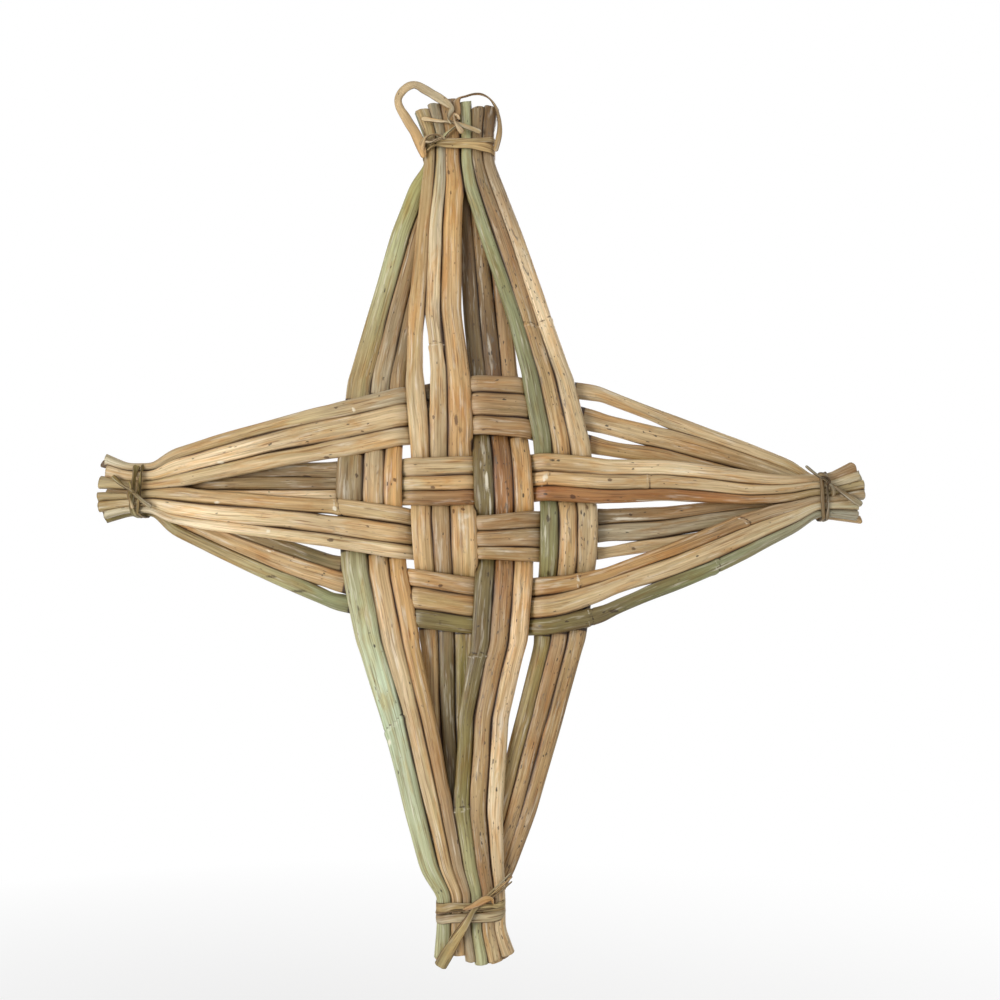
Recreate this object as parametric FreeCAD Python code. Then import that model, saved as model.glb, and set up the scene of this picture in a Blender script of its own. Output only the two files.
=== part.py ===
import FreeCAD
import Part
import math
import os

# Brigid cross of dried rush: four upright and four cross bands of three reeds in a plain weave
# Sizes are in mm. The front faces -Y, the upright reeds run along Z and the cross reeds along X
# Along a reed, s is the distance from the middle of the weave, and u is the distance across it

# Reeds
REED_THICKNESS = 4.0
REED_GAP = 0.25
LAYER_GAP = 0.4
FACET_SHARE_ACROSS = 0.26
FACET_SHARE_DEEP = 0.34
END_SPREAD = 3.5
END_UNEVENNESS = 2.3

# Weave
WEAVE_EDGE = 52.0
UPRIGHT_SPAN_MIDDLE = -0.6
CROSS_SPAN_MIDDLE = -1.8
WIDTH_TAPER_WEAVE = 0.13
WIDTH_TAPER_PER_MM = 0.0018
CROSSOVER = 2.8
CROSSOVER_MARGIN = 1.5
CROSSOVER_STEPS = 3

# Arms, from the middle of the weave to the middle of each tie
TOP_REACH = 147.0
BOTTOM_REACH = 150.0
LEFT_REACH = 127.0
RIGHT_REACH = 137.5

# Reed ends, from the middle of each tie to the longest end
TOP_TAIL = 21.0
BOTTOM_TAIL = 19.0
LEFT_TAIL = 17.0
RIGHT_TAIL = 17.0

# Bundles under the ties, across the arm
TOP_BUNDLE = 28.0
BOTTOM_BUNDLE = 24.2
LEFT_BUNDLE = 18.6
RIGHT_BUNDLE = 16.8

# Ties of rush strip
TIE_FIT = 0.15
TIE_STRIP_THICKNESS = 1.1
TIE_TURN_GAP = 0.2
TOP_STRIP_WIDTH = 4.0
BOTTOM_STRIP_WIDTH = 2.8
LEFT_STRIP_WIDTH = 3.2
RIGHT_STRIP_WIDTH = 1.8
TIE_CORNER = 0.6
TAIL_THICKNESS = 0.8
TAIL_STEP = 1.2
KNOT_DEPTH = 2.6
KNOT_WIDTH = 5.2
KNOT_SHARE_OF_TIE = 0.72

# Knots
LUMP_STATIONS = (-1.0, -0.6, 0.0, 0.6, 1.0)
LUMP_END_FALL = 0.8

# Hanging loop
LOOP_STRIP_WIDTH = 4.3
LOOP_STRIP_THICKNESS = 1.0
LOOP_SEAT = 0.4
EYE_WIDTH = 6.4
EYE_ABOVE_ENDS = 5.6
NAIL_INSIDE_ENDS = 0.6
LOOP_KNOT_RIGHT = 16.0
LOOP_KNOT_ABOVE_TIE = 5.1
LOOP_KNOT_WIDTH = 5.4
LOOP_KNOT_DEPTH = 3.0
LOOP_KNOT_HEIGHT = 5.0
ARCH_ABOVE_ENDS = 2.6
ARCH_BESIDE_ENDS = 1.6

# Bands in order: reed widths and the gap before the band, and then, at the weave's edges at -s and at +s,
# the drift of the band towards +u and how far its reeds part, between a and b and between b and c
UPRIGHT_BANDS = {
    "v1": {"widths": (9.8, 7.7, 6.5), "gap": 0.0, "drift": (2.9, -1.7), "part": ((0.3, 0.7), (0.9, 0.2))},
    "v2": {"widths": (7.2, 6.5, 9.6), "gap": 3.7, "drift": (1.8, -2.5), "part": ((0.5, 0.0), (1.2, 0.2))},
    "v3": {"widths": (7.1, 7.1, 7.1), "gap": 2.9, "drift": (0.8, -2.9), "part": ((0.3, 0.1), (0.0, 0.0))},
    "v4": {"widths": (6.8, 7.0, 7.2), "gap": 2.9, "drift": (-0.1, -3.1), "part": ((0.0, 0.2), (0.0, 0.0))},
}
CROSS_BANDS = {
    "h1": {"widths": (6.2, 8.8, 7.0), "gap": 0.0, "drift": (3.2, 2.1), "part": ((0.2, 0.3), (5.0, 2.6))},
    "h2": {"widths": (6.7, 5.8, 5.2), "gap": 9.4, "drift": (-1.9, 0.4), "part": ((0.0, 0.0), (0.0, 0.0))},
    "h3": {"widths": (6.0, 7.2, 4.8), "gap": 4.2, "drift": (-2.4, -0.5), "part": ((1.2, 0.3), (0.6, 2.2))},
    "h4": {"widths": (6.2, 8.4, 6.2), "gap": 6.2, "drift": (-2.0, -0.8), "part": ((0.2, 2.0), (0.0, 1.8))},
}
PARTING_REACH = 42.0
BAND_NAMES = {"upright": ("v1", "v2", "v3", "v4"), "cross": ("h1", "h2", "h3", "h4")}
REED_LETTERS = ("a", "b", "c")

# Share by which the bands draw together at the two edges of the weave, at -s and at +s
PINCH = {"upright": (0.102, 0.111), "cross": (0.139, 0.093)}
SPAN_MIDDLE = {"upright": UPRIGHT_SPAN_MIDDLE, "cross": CROSS_SPAN_MIDDLE}

# Arms: the pair of bands in each layer, with the bow outwards of its low and then its high outline at each
# of the arm's stations, and the flare of the reed ends past the tie
ARMS = {
    "top": {
        "family": "upright", "sign": 1, "reach": TOP_REACH, "tail": TOP_TAIL, "bundle": TOP_BUNDLE,
        "middle": -4.0, "flare": (5.5, 2.5), "strip": TOP_STRIP_WIDTH, "turns": 2,
        "front": {"bands": ("v2", "v4"), "bow": ((1.5, 1.5, 0.6), (0.4, 0.4, 0.1))},
        "back": {"bands": ("v1", "v3"), "bow": ((1.8, 3.8, 3.1), (0.0, 0.0, 0.0))},
    },
    "bottom": {
        "family": "upright", "sign": -1, "reach": BOTTOM_REACH, "tail": BOTTOM_TAIL, "bundle": BOTTOM_BUNDLE,
        "middle": 1.4, "flare": (1.0, 5.0), "strip": BOTTOM_STRIP_WIDTH, "turns": 3,
        "front": {"bands": ("v1", "v3"), "bow": ((0.6, 2.7, 3.1), (-4.4, -3.6, -1.2))},
        "back": {"bands": ("v2", "v4"), "bow": ((0.0, 0.0, 0.0), (1.5, 2.7, 1.8))},
    },
    "left": {
        "family": "cross", "sign": -1, "reach": LEFT_REACH, "tail": LEFT_TAIL, "bundle": LEFT_BUNDLE,
        "middle": -6.6, "flare": (5.3, 3.6), "strip": LEFT_STRIP_WIDTH, "turns": 2,
        "front": {"bands": ("h1", "h3"), "bow": ((1.6, 3.2, 3.2), (1.2, 2.7, 2.6))},
        "back": {"bands": ("h2", "h4"), "bow": ((0.2, 0.2, 0.0), (1.9, 3.5, 3.5))},
    },
    "right": {
        "family": "cross", "sign": 1, "reach": RIGHT_REACH, "tail": RIGHT_TAIL, "bundle": RIGHT_BUNDLE,
        "middle": -4.3, "flare": (6.5, 1.8), "strip": RIGHT_STRIP_WIDTH, "turns": 2,
        "front": {"bands": ("h2", "h4"), "bow": ((1.7, 0.9, 0.1), (1.7, 2.9, 2.0))},
        "back": {"bands": ("h1", "h3"), "bow": ((1.1, 2.9, 2.7), (0.9, 0.9, 0.4))},
    },
}
# Knots: place across the arm, then the reach of each tail across and outwards, and its width
KNOTS = {
    "top": (-13.6, ()),
    "bottom": (3.4, ((-13.0, 19.5, 4.6), (12.5, -14.0, 1.8))),
    "left": (-5.6, ((-6.5, 9.5, 1.8), (6.6, -7.6, 2.0))),
    "right": (-7.6, ((7.6, 13.5, 2.2), (-7.2, -8.6, 2.0))),
}

# Places along an arm, as shares of the way from the weave to the tie, where its curve has a station
ARM_STATION_SHARES = (0.3, 0.68, 0.9)

# Sizes worked out from the ones above
LAYER_OFFSET = (REED_THICKNESS + LAYER_GAP) / 2.0
BUNDLE_HALF_DEPTH = REED_THICKNESS + LAYER_GAP / 2.0
TIE_INNER_DEPTH = BUNDLE_HALF_DEPTH + TIE_FIT
TIE_OUTER_DEPTH = TIE_INNER_DEPTH + TIE_STRIP_THICKNESS


def family_bands(family):
    return UPRIGHT_BANDS if family == "upright" else CROSS_BANDS


# Length of arm that a tie covers at its knot, where its first and last turns begin and end
def tie_length(arm):
    return arm["turns"] * (arm["strip"] + TIE_TURN_GAP) + arm["strip"] + TIE_TURN_GAP


# Middle of each band at the middle of the weave, laid side by side from the first band on
def band_middles(family):
    bands = family_bands(family)
    middles = {}
    edge = 0.0
    for name in BAND_NAMES[family]:
        edge += bands[name]["gap"]
        width = sum(bands[name]["widths"]) + 2.0 * REED_GAP
        middles[name] = edge + width / 2.0
        edge += width
    return {name: middles[name] - edge / 2.0 + SPAN_MIDDLE[family] for name in middles}


MIDDLES = {"upright": band_middles("upright"), "cross": band_middles("cross")}


# Share of its full width that a reed keeps at s
def width_share(s):
    near = min(abs(s), WEAVE_EDGE) / WEAVE_EDGE
    return 1.0 - WIDTH_TAPER_WEAVE * near ** 2 - WIDTH_TAPER_PER_MM * max(0.0, abs(s) - WEAVE_EDGE)


# Low edge of the first reed and high edge of the last reed of a band inside the weave
def weave_edges(family, name, s):
    bands = family_bands(family)
    near = (s / WEAVE_EDGE) ** 2
    side = 0 if s < 0.0 else 1
    middle = MIDDLES[family][name] * (1.0 - PINCH[family][side] * near)
    middle += bands[name]["drift"][side] * near
    half = sum(bands[name]["widths"]) * width_share(s) / 2.0 + REED_GAP + sum(parting(family, name, s)) / 2.0
    return middle - half, middle + half


# Extra gaps between reeds a and b and between b and c, widest at the edge of the weave
def parting(family, name, s):
    side = 0 if s < 0.0 else 1
    off = min(1.0, abs(abs(s) - WEAVE_EDGE) / PARTING_REACH)
    share = math.cos(math.pi / 2.0 * off) ** 2
    return [gap * share for gap in family_bands(family)[name]["part"][side]]


# Intervals of the three reeds, side by side from the low edge with widths scaled by one share
def reeds_from_low(widths, gaps, low, share):
    spans = []
    for width, gap in zip(widths, gaps + [0.0]):
        spans.append((low, low + width * share))
        low += width * share + REED_GAP + gap
    return spans


def arm_of(family, s):
    side = 1 if s > 0.0 else -1
    for arm in ARMS.values():
        if arm["family"] == family and arm["sign"] == side:
            return arm


def layer_of(arm, name):
    return "front" if name in arm["front"]["bands"] else "back"


# Low and high outline of a whole layer at a distance along its arm
def layer_outline(arm, layer, distance):
    pair = arm[layer]
    edge_s = arm["sign"] * WEAVE_EDGE
    low_weave = weave_edges(arm["family"], pair["bands"][0], edge_s)[0]
    high_weave = weave_edges(arm["family"], pair["bands"][1], edge_s)[1]
    low_tie = arm["middle"] - arm["bundle"] / 2.0
    high_tie = arm["middle"] + arm["bundle"] / 2.0
    under_tie = tie_length(arm) / 2.0
    if distance >= arm["reach"] - under_tie:
        past = max(0.0, distance - arm["reach"] - under_tie) / (arm["tail"] - under_tie)
        return low_tie - arm["flare"][0] * past, high_tie + arm["flare"][1] * past
    way = (distance - WEAVE_EDGE) / (arm["reach"] - under_tie - WEAVE_EDGE)
    low_bow, high_bow = pair["bow"]
    low = low_weave + (low_tie - low_weave) * way - bow_at(low_bow, way)
    high = high_weave + (high_tie - high_weave) * way + bow_at(high_bow, way)
    return low, high


# Bow of an outline at a share of the way, in straight runs from station to station
def bow_at(bows, way):
    shares = (0.0,) + ARM_STATION_SHARES + (1.0,)
    values = (0.0,) + bows + (0.0,)
    for number in range(1, len(shares)):
        if way <= shares[number]:
            run = (way - shares[number - 1]) / (shares[number] - shares[number - 1])
            return values[number - 1] + (values[number] - values[number - 1]) * run
    return 0.0


# Intervals across of the three reeds of a band at s, in the weave or in an arm
def band_spans(family, name, s):
    widths = family_bands(family)[name]["widths"]
    gaps = parting(family, name, s)
    if abs(s) <= WEAVE_EDGE:
        return reeds_from_low(widths, gaps, weave_edges(family, name, s)[0], width_share(s))
    arm = arm_of(family, s)
    pair = arm[layer_of(arm, name)]["bands"]
    low, high = layer_outline(arm, layer_of(arm, name), abs(s))
    full = sum(sum(family_bands(family)[band]["widths"]) for band in pair)
    open_gaps = sum(sum(parting(family, band, s)) for band in pair)
    room = (high - low - 5.0 * REED_GAP - open_gaps) / full
    past_tie = abs(s) >= arm["reach"] - tie_length(arm) / 2.0
    share = room if past_tie else min(width_share(s), room)
    if name == pair[1]:
        low = high - sum(widths) * share - 2.0 * REED_GAP - sum(gaps)
    return reeds_from_low(widths, gaps, low, share)


# -1 where the upright band lies in front at a crossing, +1 where it lies behind
def upright_side(upright_index, cross_index):
    return 1 if (upright_index + cross_index) % 2 == 0 else -1


# Places and depths at which one reed changes sides, each as the middle of a gap and half a crossover
def crossovers(family, index, number):
    other = "cross" if family == "upright" else "upright"
    towards = -1.0 if family == "upright" else 1.0
    name = BAND_NAMES[family][index]
    changes = []
    for gap_index in range(3):
        before = BAND_NAMES[other][gap_index]
        after = BAND_NAMES[other][gap_index + 1]
        s = towards * (MIDDLES[other][before] + MIDDLES[other][after]) / 2.0
        gap = 0.0
        for step in range(CROSSOVER_STEPS):
            low, high = band_spans(family, name, s)[number]
            across = -towards * (low + high) / 2.0
            gap_low = weave_edges(other, before, across)[1]
            gap_high = weave_edges(other, after, across)[0]
            s = towards * (gap_low + gap_high) / 2.0
            gap = gap_high - gap_low
        half = max(CROSSOVER, gap / 2.0 + CROSSOVER_MARGIN)
        changes.append((s, half))
    return changes


# Side of the reed over each of the four crossings, as the sign of y
def sides(family, index):
    if family == "upright":
        return [upright_side(index, cross) for cross in range(4)]
    return [-upright_side(upright, index) for upright in range(4)]


# Stations of one reed from its low end to its high end, as pairs of s and y
def reed_stations(family, index, number):
    name = BAND_NAMES[family][index]
    over = sides(family, index)
    changes = crossovers(family, index, number)
    if family == "upright":
        over = over[::-1]
        changes = changes[::-1]
    stations = []
    for s in arm_stations(family, -1, name, number)[::-1]:
        stations.append((s, over[0] * LAYER_OFFSET))
    for change, (middle, half) in enumerate(changes):
        stations.append((middle - half, over[change] * LAYER_OFFSET))
        stations.append((middle + half, over[change + 1] * LAYER_OFFSET))
    for s in arm_stations(family, 1, name, number):
        stations.append((s, over[3] * LAYER_OFFSET))
    return stations


# Values of s from the edge of the weave out to the end of the reed, which is cut unevenly
def arm_stations(family, sign, name, number):
    arm = arm_of(family, sign)
    under_tie = tie_length(arm) / 2.0
    inner = arm["reach"] - under_tie
    outward = [WEAVE_EDGE]
    for share in ARM_STATION_SHARES:
        outward.append(WEAVE_EDGE + (inner - WEAVE_EDGE) * share)
    outward.append(inner)
    outward.append(arm["reach"] + under_tie)
    rank = 3 * BAND_NAMES[family].index(name) + number
    outward.append(arm["reach"] + arm["tail"] - END_SPREAD * math.sin(END_UNEVENNESS * rank + sign) ** 2)
    return [sign * value for value in outward]


# Flattened eight-sided outline of a reed at one station
def reed_section(family, s, y, low, high):
    side = (high - low) / 2.0
    middle = (high + low) / 2.0
    deep = REED_THICKNESS / 2.0
    face = side * (1.0 - 2.0 * FACET_SHARE_ACROSS)
    side_deep = deep * (1.0 - 2.0 * FACET_SHARE_DEEP)
    corners = (
        (side, -side_deep), (side, side_deep), (face, deep), (-face, deep),
        (-side, side_deep), (-side, -side_deep), (-face, -deep), (face, -deep),
    )
    return polygon([place(family, middle + across, y + depth, s) for across, depth in corners])


# A point given across, deep and along a reed or an arm, in the frame of the cross
def place(family, u, y, s):
    if family == "upright":
        return FreeCAD.Vector(u, y, s)
    return FreeCAD.Vector(s, y, -u)


def polygon(points):
    return Part.makePolygon(list(points) + [points[0]])


# Solid with flat facets through rings of as many corners each, for the small twisted pieces
def skin(rings):
    corners = len(rings[0])
    triangles = []
    for here, after in zip(rings, rings[1:]):
        for number in range(corners):
            other = (number + 1) % corners
            triangles.append((here[number], here[other], after[other]))
            triangles.append((here[number], after[other], after[number]))
    for number in range(1, corners - 1):
        triangles.append((rings[0][0], rings[0][number + 1], rings[0][number]))
        triangles.append((rings[-1][0], rings[-1][number], rings[-1][number + 1]))
    faces = [Part.Face(polygon(triangle)) for triangle in triangles]
    solid = Part.Solid(Part.Shell(faces))
    if solid.Volume < 0.0:
        solid.reverse()
    return solid


def reed(family, index, number):
    name = BAND_NAMES[family][index]
    sections = []
    for s, y in reed_stations(family, index, number):
        low, high = band_spans(family, name, s)[number]
        sections.append(reed_section(family, s, y, low, high))
    return Part.makeLoft(sections, True, True)


# Corner points of a turn round a bundle, at half width, half depth and cut corners, from the knot on
def turn_points(middle, half, deep, cut, start):
    low = middle - half
    high = middle + half
    return (
        (start, -deep), (high - cut, -deep), (high, cut - deep), (high, deep - cut), (high - cut, deep),
        (middle, deep), (low + cut, deep), (low, deep - cut), (low, cut - deep), (low + cut, -deep),
    )


# Turns of flat strip wound round the bundle of an arm, each beside the last
def winding(arm, knot_u):
    inner_half = arm["bundle"] / 2.0 + TIE_FIT
    outer_half = inner_half + TIE_STRIP_THICKNESS
    inner = turn_points(arm["middle"], inner_half, TIE_INNER_DEPTH, TIE_CORNER, knot_u)
    outer_cut = TIE_CORNER + 0.9 * TIE_STRIP_THICKNESS
    outer = turn_points(arm["middle"], outer_half, TIE_OUTER_DEPTH, outer_cut, knot_u)
    pitch = arm["strip"] + TIE_TURN_GAP
    half_strip = arm["strip"] / 2.0
    lengths = [0.0]
    for here, after in zip(inner, inner[1:] + inner[:1]):
        lengths.append(lengths[-1] + math.dist(here, after))
    sections = []
    for turn in range(arm["turns"]):
        for number in range(len(inner)):
            done = turn + lengths[number] / lengths[-1]
            sections.append(strip_section(arm, inner[number], outer[number], done, pitch, half_strip))
    sections.append(strip_section(arm, inner[0], outer[0], arm["turns"], pitch, half_strip))
    return skin(sections)


def strip_section(arm, inner, outer, done, pitch, half_strip):
    s = arm["reach"] + (done - arm["turns"] / 2.0) * pitch
    corners = (
        (inner, s - half_strip), (inner, s + half_strip), (outer, s + half_strip), (outer, s - half_strip),
    )
    sign = arm["sign"]
    return [place(arm["family"], point[0], point[1], sign * along) for point, along in corners]


# A rounded lump lying across the arm, for a knot pulled tight: its middle, then its sizes across, deep and
# along the arm
def lump(family, middle, width, depth, height):
    u, y, s = middle
    sections = []
    for way in LUMP_STATIONS:
        share = math.sqrt(1.0 - LUMP_END_FALL * way ** 2) / 2.0
        ring = []
        for corner in range(8):
            angle = math.pi * (2 * corner + 1) / 8.0
            ring_y = y + depth * share * math.cos(angle)
            ring_s = s + height * share * math.sin(angle)
            ring.append(place(family, u + width / 2.0 * way, ring_y, ring_s))
        sections.append(ring)
    return skin(sections)


# Flat strip along points in the frame of the cross, its width square to the path and to its facing
def ribbon(points, widths, facings, thickness):
    sections = []
    for number, point in enumerate(points):
        before = points[max(number - 1, 0)]
        after = points[min(number + 1, len(points) - 1)]
        along = (after - before).normalize()
        across = along.cross(facings[number]).normalize() * (widths[number] / 2.0)
        out = across.cross(along).normalize() * (thickness / 2.0)
        sections.append((point + across + out, point - across + out,
                         point - across - out, point + across - out))
    return skin(sections)


FRONT = FreeCAD.Vector(0, -1, 0)


# Tail of a tie lying on the front of its arm: places across and along from the knot, then the depths
def tie_tail(arm, route, widths):
    points = []
    for u, y, s in route:
        points.append(place(arm["family"], u, y, arm["sign"] * s))
    return ribbon(points, widths, [FRONT] * len(points), TAIL_THICKNESS)


# Tie of one arm: winding, knot on the front, and tails that leave the knot over the winding's edge
def tie(arm, knot_u, tails):
    family = arm["family"]
    knot_y = -TIE_INNER_DEPTH - TIE_FIT - (KNOT_DEPTH + TIE_STRIP_THICKNESS) / 2.0
    half_tie = tie_length(arm) / 2.0
    middle = (knot_u, knot_y, arm["sign"] * arm["reach"])
    knot_depth = KNOT_DEPTH + TIE_STRIP_THICKNESS
    knot_height = 2.0 * half_tie * KNOT_SHARE_OF_TIE
    solid = winding(arm, knot_u).fuse(lump(family, middle, KNOT_WIDTH, knot_depth, knot_height))
    over_y = -TIE_OUTER_DEPTH - TAIL_THICKNESS / 2.0
    on_y = -BUNDLE_HALF_DEPTH - TIE_FIT - TAIL_THICKNESS / 2.0
    for across, along, width in tails:
        edge = math.copysign(half_tie + TAIL_STEP, along)
        share = edge / along
        route = (
            (knot_u, knot_y, arm["reach"]),
            (knot_u + across * share * 0.5, over_y - 0.2, arm["reach"] + edge * 0.6),
            (knot_u + across * share, over_y + 0.3, arm["reach"] + edge),
            (knot_u + across * 0.7, on_y - 0.3, arm["reach"] + along * 0.7),
            (knot_u + across, on_y, arm["reach"] + along),
        )
        solid = solid.fuse(tie_tail(arm, route, (width * 0.8, width * 0.8, width, width, width * 0.9)))
    return solid


# Inner top of the eye, where the cross hangs on its nail, from the middle of the weave
def nail_point():
    arm = ARMS["top"]
    ends = arm["reach"] + arm["tail"]
    left_outline = arm["middle"] - arm["bundle"] / 2.0 - arm["flare"][0]
    return FreeCAD.Vector(left_outline + NAIL_INSIDE_ENDS, 0.0, ends + EYE_ABOVE_ENDS)


# Loop of flat strip: the eye, the arch over the reed ends, the knot that joins them and its two tails
def hanging_loop():
    arm = ARMS["top"]
    tie_top = arm["reach"] + tie_length(arm) / 2.0
    over_y = -BUNDLE_HALF_DEPTH - LOOP_SEAT - LOOP_STRIP_THICKNESS * 0.6
    knot = FreeCAD.Vector(nail_point().x + LOOP_KNOT_RIGHT, over_y - 0.9, tie_top + LOOP_KNOT_ABOVE_TIE)
    solid = loop_eye(arm, knot, tie_top, over_y)
    solid = solid.fuse(loop_arch(arm, knot, over_y))
    solid = solid.fuse(lump("upright", knot, LOOP_KNOT_WIDTH, LOOP_KNOT_DEPTH, LOOP_KNOT_HEIGHT))
    stub = ((0.0, knot.y, 0.0), (-6.0, over_y - 0.5, -0.3), (-12.0, over_y, 0.0))
    tail = ((0.0, knot.y, 0.0), (5.0, over_y - 0.5, -4.6), (11.6, over_y, -6.4))
    for route, widths in ((stub, (2.0, 2.2, 2.6)), (tail, (2.4, 2.8, 2.2))):
        points = [FreeCAD.Vector(knot.x + right, y, knot.z + up) for right, y, up in route]
        solid = solid.fuse(ribbon(points, widths, [FRONT] * len(points), TAIL_THICKNESS))
    return solid


# Strand from the left end of the tie up the left side, round the eye over the nail and down to the knot
def loop_eye(arm, knot, tie_top, over_y):
    nail = nail_point()
    half = LOOP_STRIP_WIDTH / 2.0
    tie_y = -TIE_OUTER_DEPTH - LOOP_SEAT - LOOP_STRIP_THICKNESS
    left = nail.x - EYE_WIDTH / 2.0 - half
    tie_left = arm["middle"] - arm["bundle"] / 2.0 + half * 0.2
    top = nail.z + half
    ends = arm["reach"] + arm["tail"]
    route = (
        (tie_left - 0.6, tie_y, arm["reach"] - 1.5),
        (tie_left - 2.4, tie_y, tie_top),
        (left + 2.6, -1.5, ends - 9.5),
        (left + 0.4, 0.0, ends - 2.5),
        (left + 0.9, 0.0, top - 3.2),
        (left + 3.6, 0.0, top - 0.7),
        (nail.x + 0.4, 0.0, top),
        (nail.x + 5.2, -1.6, top - 1.9),
        (nail.x + 10.6, over_y - 0.4, ends - 0.4),
        (knot.x - 1.6, over_y - 0.6, ends - 4.5),
        (knot.x + 0.2, over_y - 1.0, knot.z + 1.6),
    )
    shares = (0.8, 0.9, 1.0, 1.0, 0.95, 0.9, 0.9, 0.95, 1.0, 1.0, 0.7)
    points = [FreeCAD.Vector(*point) for point in route]
    widths = [LOOP_STRIP_WIDTH * share for share in shares]
    return ribbon(points, widths, [FRONT] * len(points), LOOP_STRIP_THICKNESS)


# Strand from the knot up over the reed ends and down their right side to the right end of the tie
def loop_arch(arm, knot, over_y):
    middle_y = -LOOP_STRIP_WIDTH / 2.0
    ends = arm["reach"] + arm["tail"]
    tie_right = arm["middle"] + arm["bundle"] / 2.0
    right = tie_right + arm["flare"][1] + ARCH_BESIDE_ENDS
    beside_tie = tie_right + TIE_FIT + TIE_STRIP_THICKNESS + LOOP_SEAT + LOOP_STRIP_THICKNESS / 2.0
    up = FreeCAD.Vector(0.0, 0.0, 1.0)
    outward = FreeCAD.Vector(1.0, 0.0, 0.0)
    route = (
        (knot.x + 0.6, over_y - 0.6, knot.z + 0.5, FRONT),
        (knot.x + 2.0, over_y - 0.2, ends - 3.0, FRONT),
        (knot.x + 3.4, over_y + 0.7, ends + 1.2, FreeCAD.Vector(-0.3, -0.6, 0.8)),
        (knot.x + 6.5, middle_y, ends + ARCH_ABOVE_ENDS - 0.9, up),
        (knot.x + 12.0, middle_y, ends + ARCH_ABOVE_ENDS, up),
        (right - 1.6, middle_y, ends + ARCH_ABOVE_ENDS - 1.4, FreeCAD.Vector(0.7, 0.0, 0.7)),
        (right, middle_y, ends - 3.5, outward),
        (right - 0.6, middle_y - 0.8, ends - 10.0, outward),
        (beside_tie, middle_y - 1.4, arm["reach"] - 1.5, outward),
    )
    points = [FreeCAD.Vector(*point[:3]) for point in route]
    facings = [point[3] for point in route]
    shares = [0.8] + [1.0] * (len(route) - 2) + [0.8]
    widths = [LOOP_STRIP_WIDTH * share for share in shares]
    return ribbon(points, widths, facings, LOOP_STRIP_THICKNESS)


def export(shape, name):
    moved = shape.copy()
    moved.translate(nail_point() * -1.0)
    moved.exportStep("parts/" + name + ".step")


def main():
    os.makedirs("parts", exist_ok=True)
    for family in ("upright", "cross"):
        for index, name in enumerate(BAND_NAMES[family]):
            for number, letter in enumerate(REED_LETTERS):
                export(reed(family, index, number), "reed_" + name + letter)
    for side, arm in ARMS.items():
        knot_u, tails = KNOTS[side]
        export(tie(arm, knot_u, tails), "tie_" + side)
    export(hanging_loop(), "hanging_loop")


main()
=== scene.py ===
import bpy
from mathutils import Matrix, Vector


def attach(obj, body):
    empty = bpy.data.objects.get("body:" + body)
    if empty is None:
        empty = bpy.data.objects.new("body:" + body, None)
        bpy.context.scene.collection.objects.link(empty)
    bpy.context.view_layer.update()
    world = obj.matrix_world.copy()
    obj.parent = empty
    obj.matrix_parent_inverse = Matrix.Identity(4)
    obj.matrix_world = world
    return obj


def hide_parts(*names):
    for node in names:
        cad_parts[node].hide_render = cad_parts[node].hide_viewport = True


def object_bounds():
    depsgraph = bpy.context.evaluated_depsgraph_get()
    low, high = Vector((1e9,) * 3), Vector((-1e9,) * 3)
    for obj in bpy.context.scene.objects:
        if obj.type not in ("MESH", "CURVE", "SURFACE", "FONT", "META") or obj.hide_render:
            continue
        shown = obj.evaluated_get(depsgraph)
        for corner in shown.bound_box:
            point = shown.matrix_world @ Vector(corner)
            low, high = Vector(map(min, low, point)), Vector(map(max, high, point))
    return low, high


bl_info = {
    "name": "Brigid Cross",
    "version": (1, 0, 0),
    "blender": (4, 5, 0),
    "location": "View3D > Sidebar > Brigid Cross",
    "description": "Dresses a woven rush cross with dried reeds, rush ties, a hanging strip and a pale stage",
    "category": "Object",
}

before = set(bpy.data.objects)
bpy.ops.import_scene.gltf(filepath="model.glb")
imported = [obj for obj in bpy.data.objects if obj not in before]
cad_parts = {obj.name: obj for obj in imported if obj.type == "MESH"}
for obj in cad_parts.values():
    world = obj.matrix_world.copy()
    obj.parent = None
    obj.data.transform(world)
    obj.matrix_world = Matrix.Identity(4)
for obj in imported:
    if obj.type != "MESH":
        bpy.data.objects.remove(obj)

import math

import bpy
import numpy as np
from bpy.props import FloatProperty, FloatVectorProperty, IntProperty, PointerProperty
from mathutils import Vector

CAD_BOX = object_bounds()
MM = 0.001
REED_LETTERS = "abc"
FRONT = np.array((0.0, -1.0, 0.0))

# Middle of the weave, in mm from the nail, which is the frame's origin
WEAVE_MIDDLE = np.array((22.9, 0.0, -173.6))

# Reeds of one layer closer than WIDE_GAP run into each other by SEAM_PRESS. An edge with no reed beside it
# swells by WEAVE_SWELL within WEAVE_REACH of the middle of the weave, and by EDGE_SWELL beyond it. All are
# in mm.
WIDE_GAP = 2.2
SEAM_PRESS = 0.25
EDGE_SWELL = 0.15
WEAVE_SWELL = 0.6
WEAVE_REACH = 52.0

# Parallel reeds are in one layer when their depths differ by less than ONE_LAYER, and a crossing reed is in
# front or behind when the depths differ by more than CROSSING_DEPTH, in mm
ONE_LAYER = 1.5
CROSSING_DEPTH = 0.8

# How far the painted shade in the corner where two reeds cross reaches out, in mm
CROSSING_SHADE = 0.9

# How far a bend, an edge and a rise or dip of a reed are rounded along it, in mm
BEND_SOFT = 3.0
EDGE_SOFT = 1.8
DEPTH_SOFT = 1.3

# Stems stray and lean only in the arms: from ARM_START of the middle of the weave, fully after ARM_FADE, and
# less and less over the last END_FADE before an end, in mm
ARM_START = 50.0
ARM_FADE = 25.0
END_FADE = 30.0

# Rings of points at each end of a reed that share its ragged, slanted cut
CUT_RINGS = 8

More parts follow.
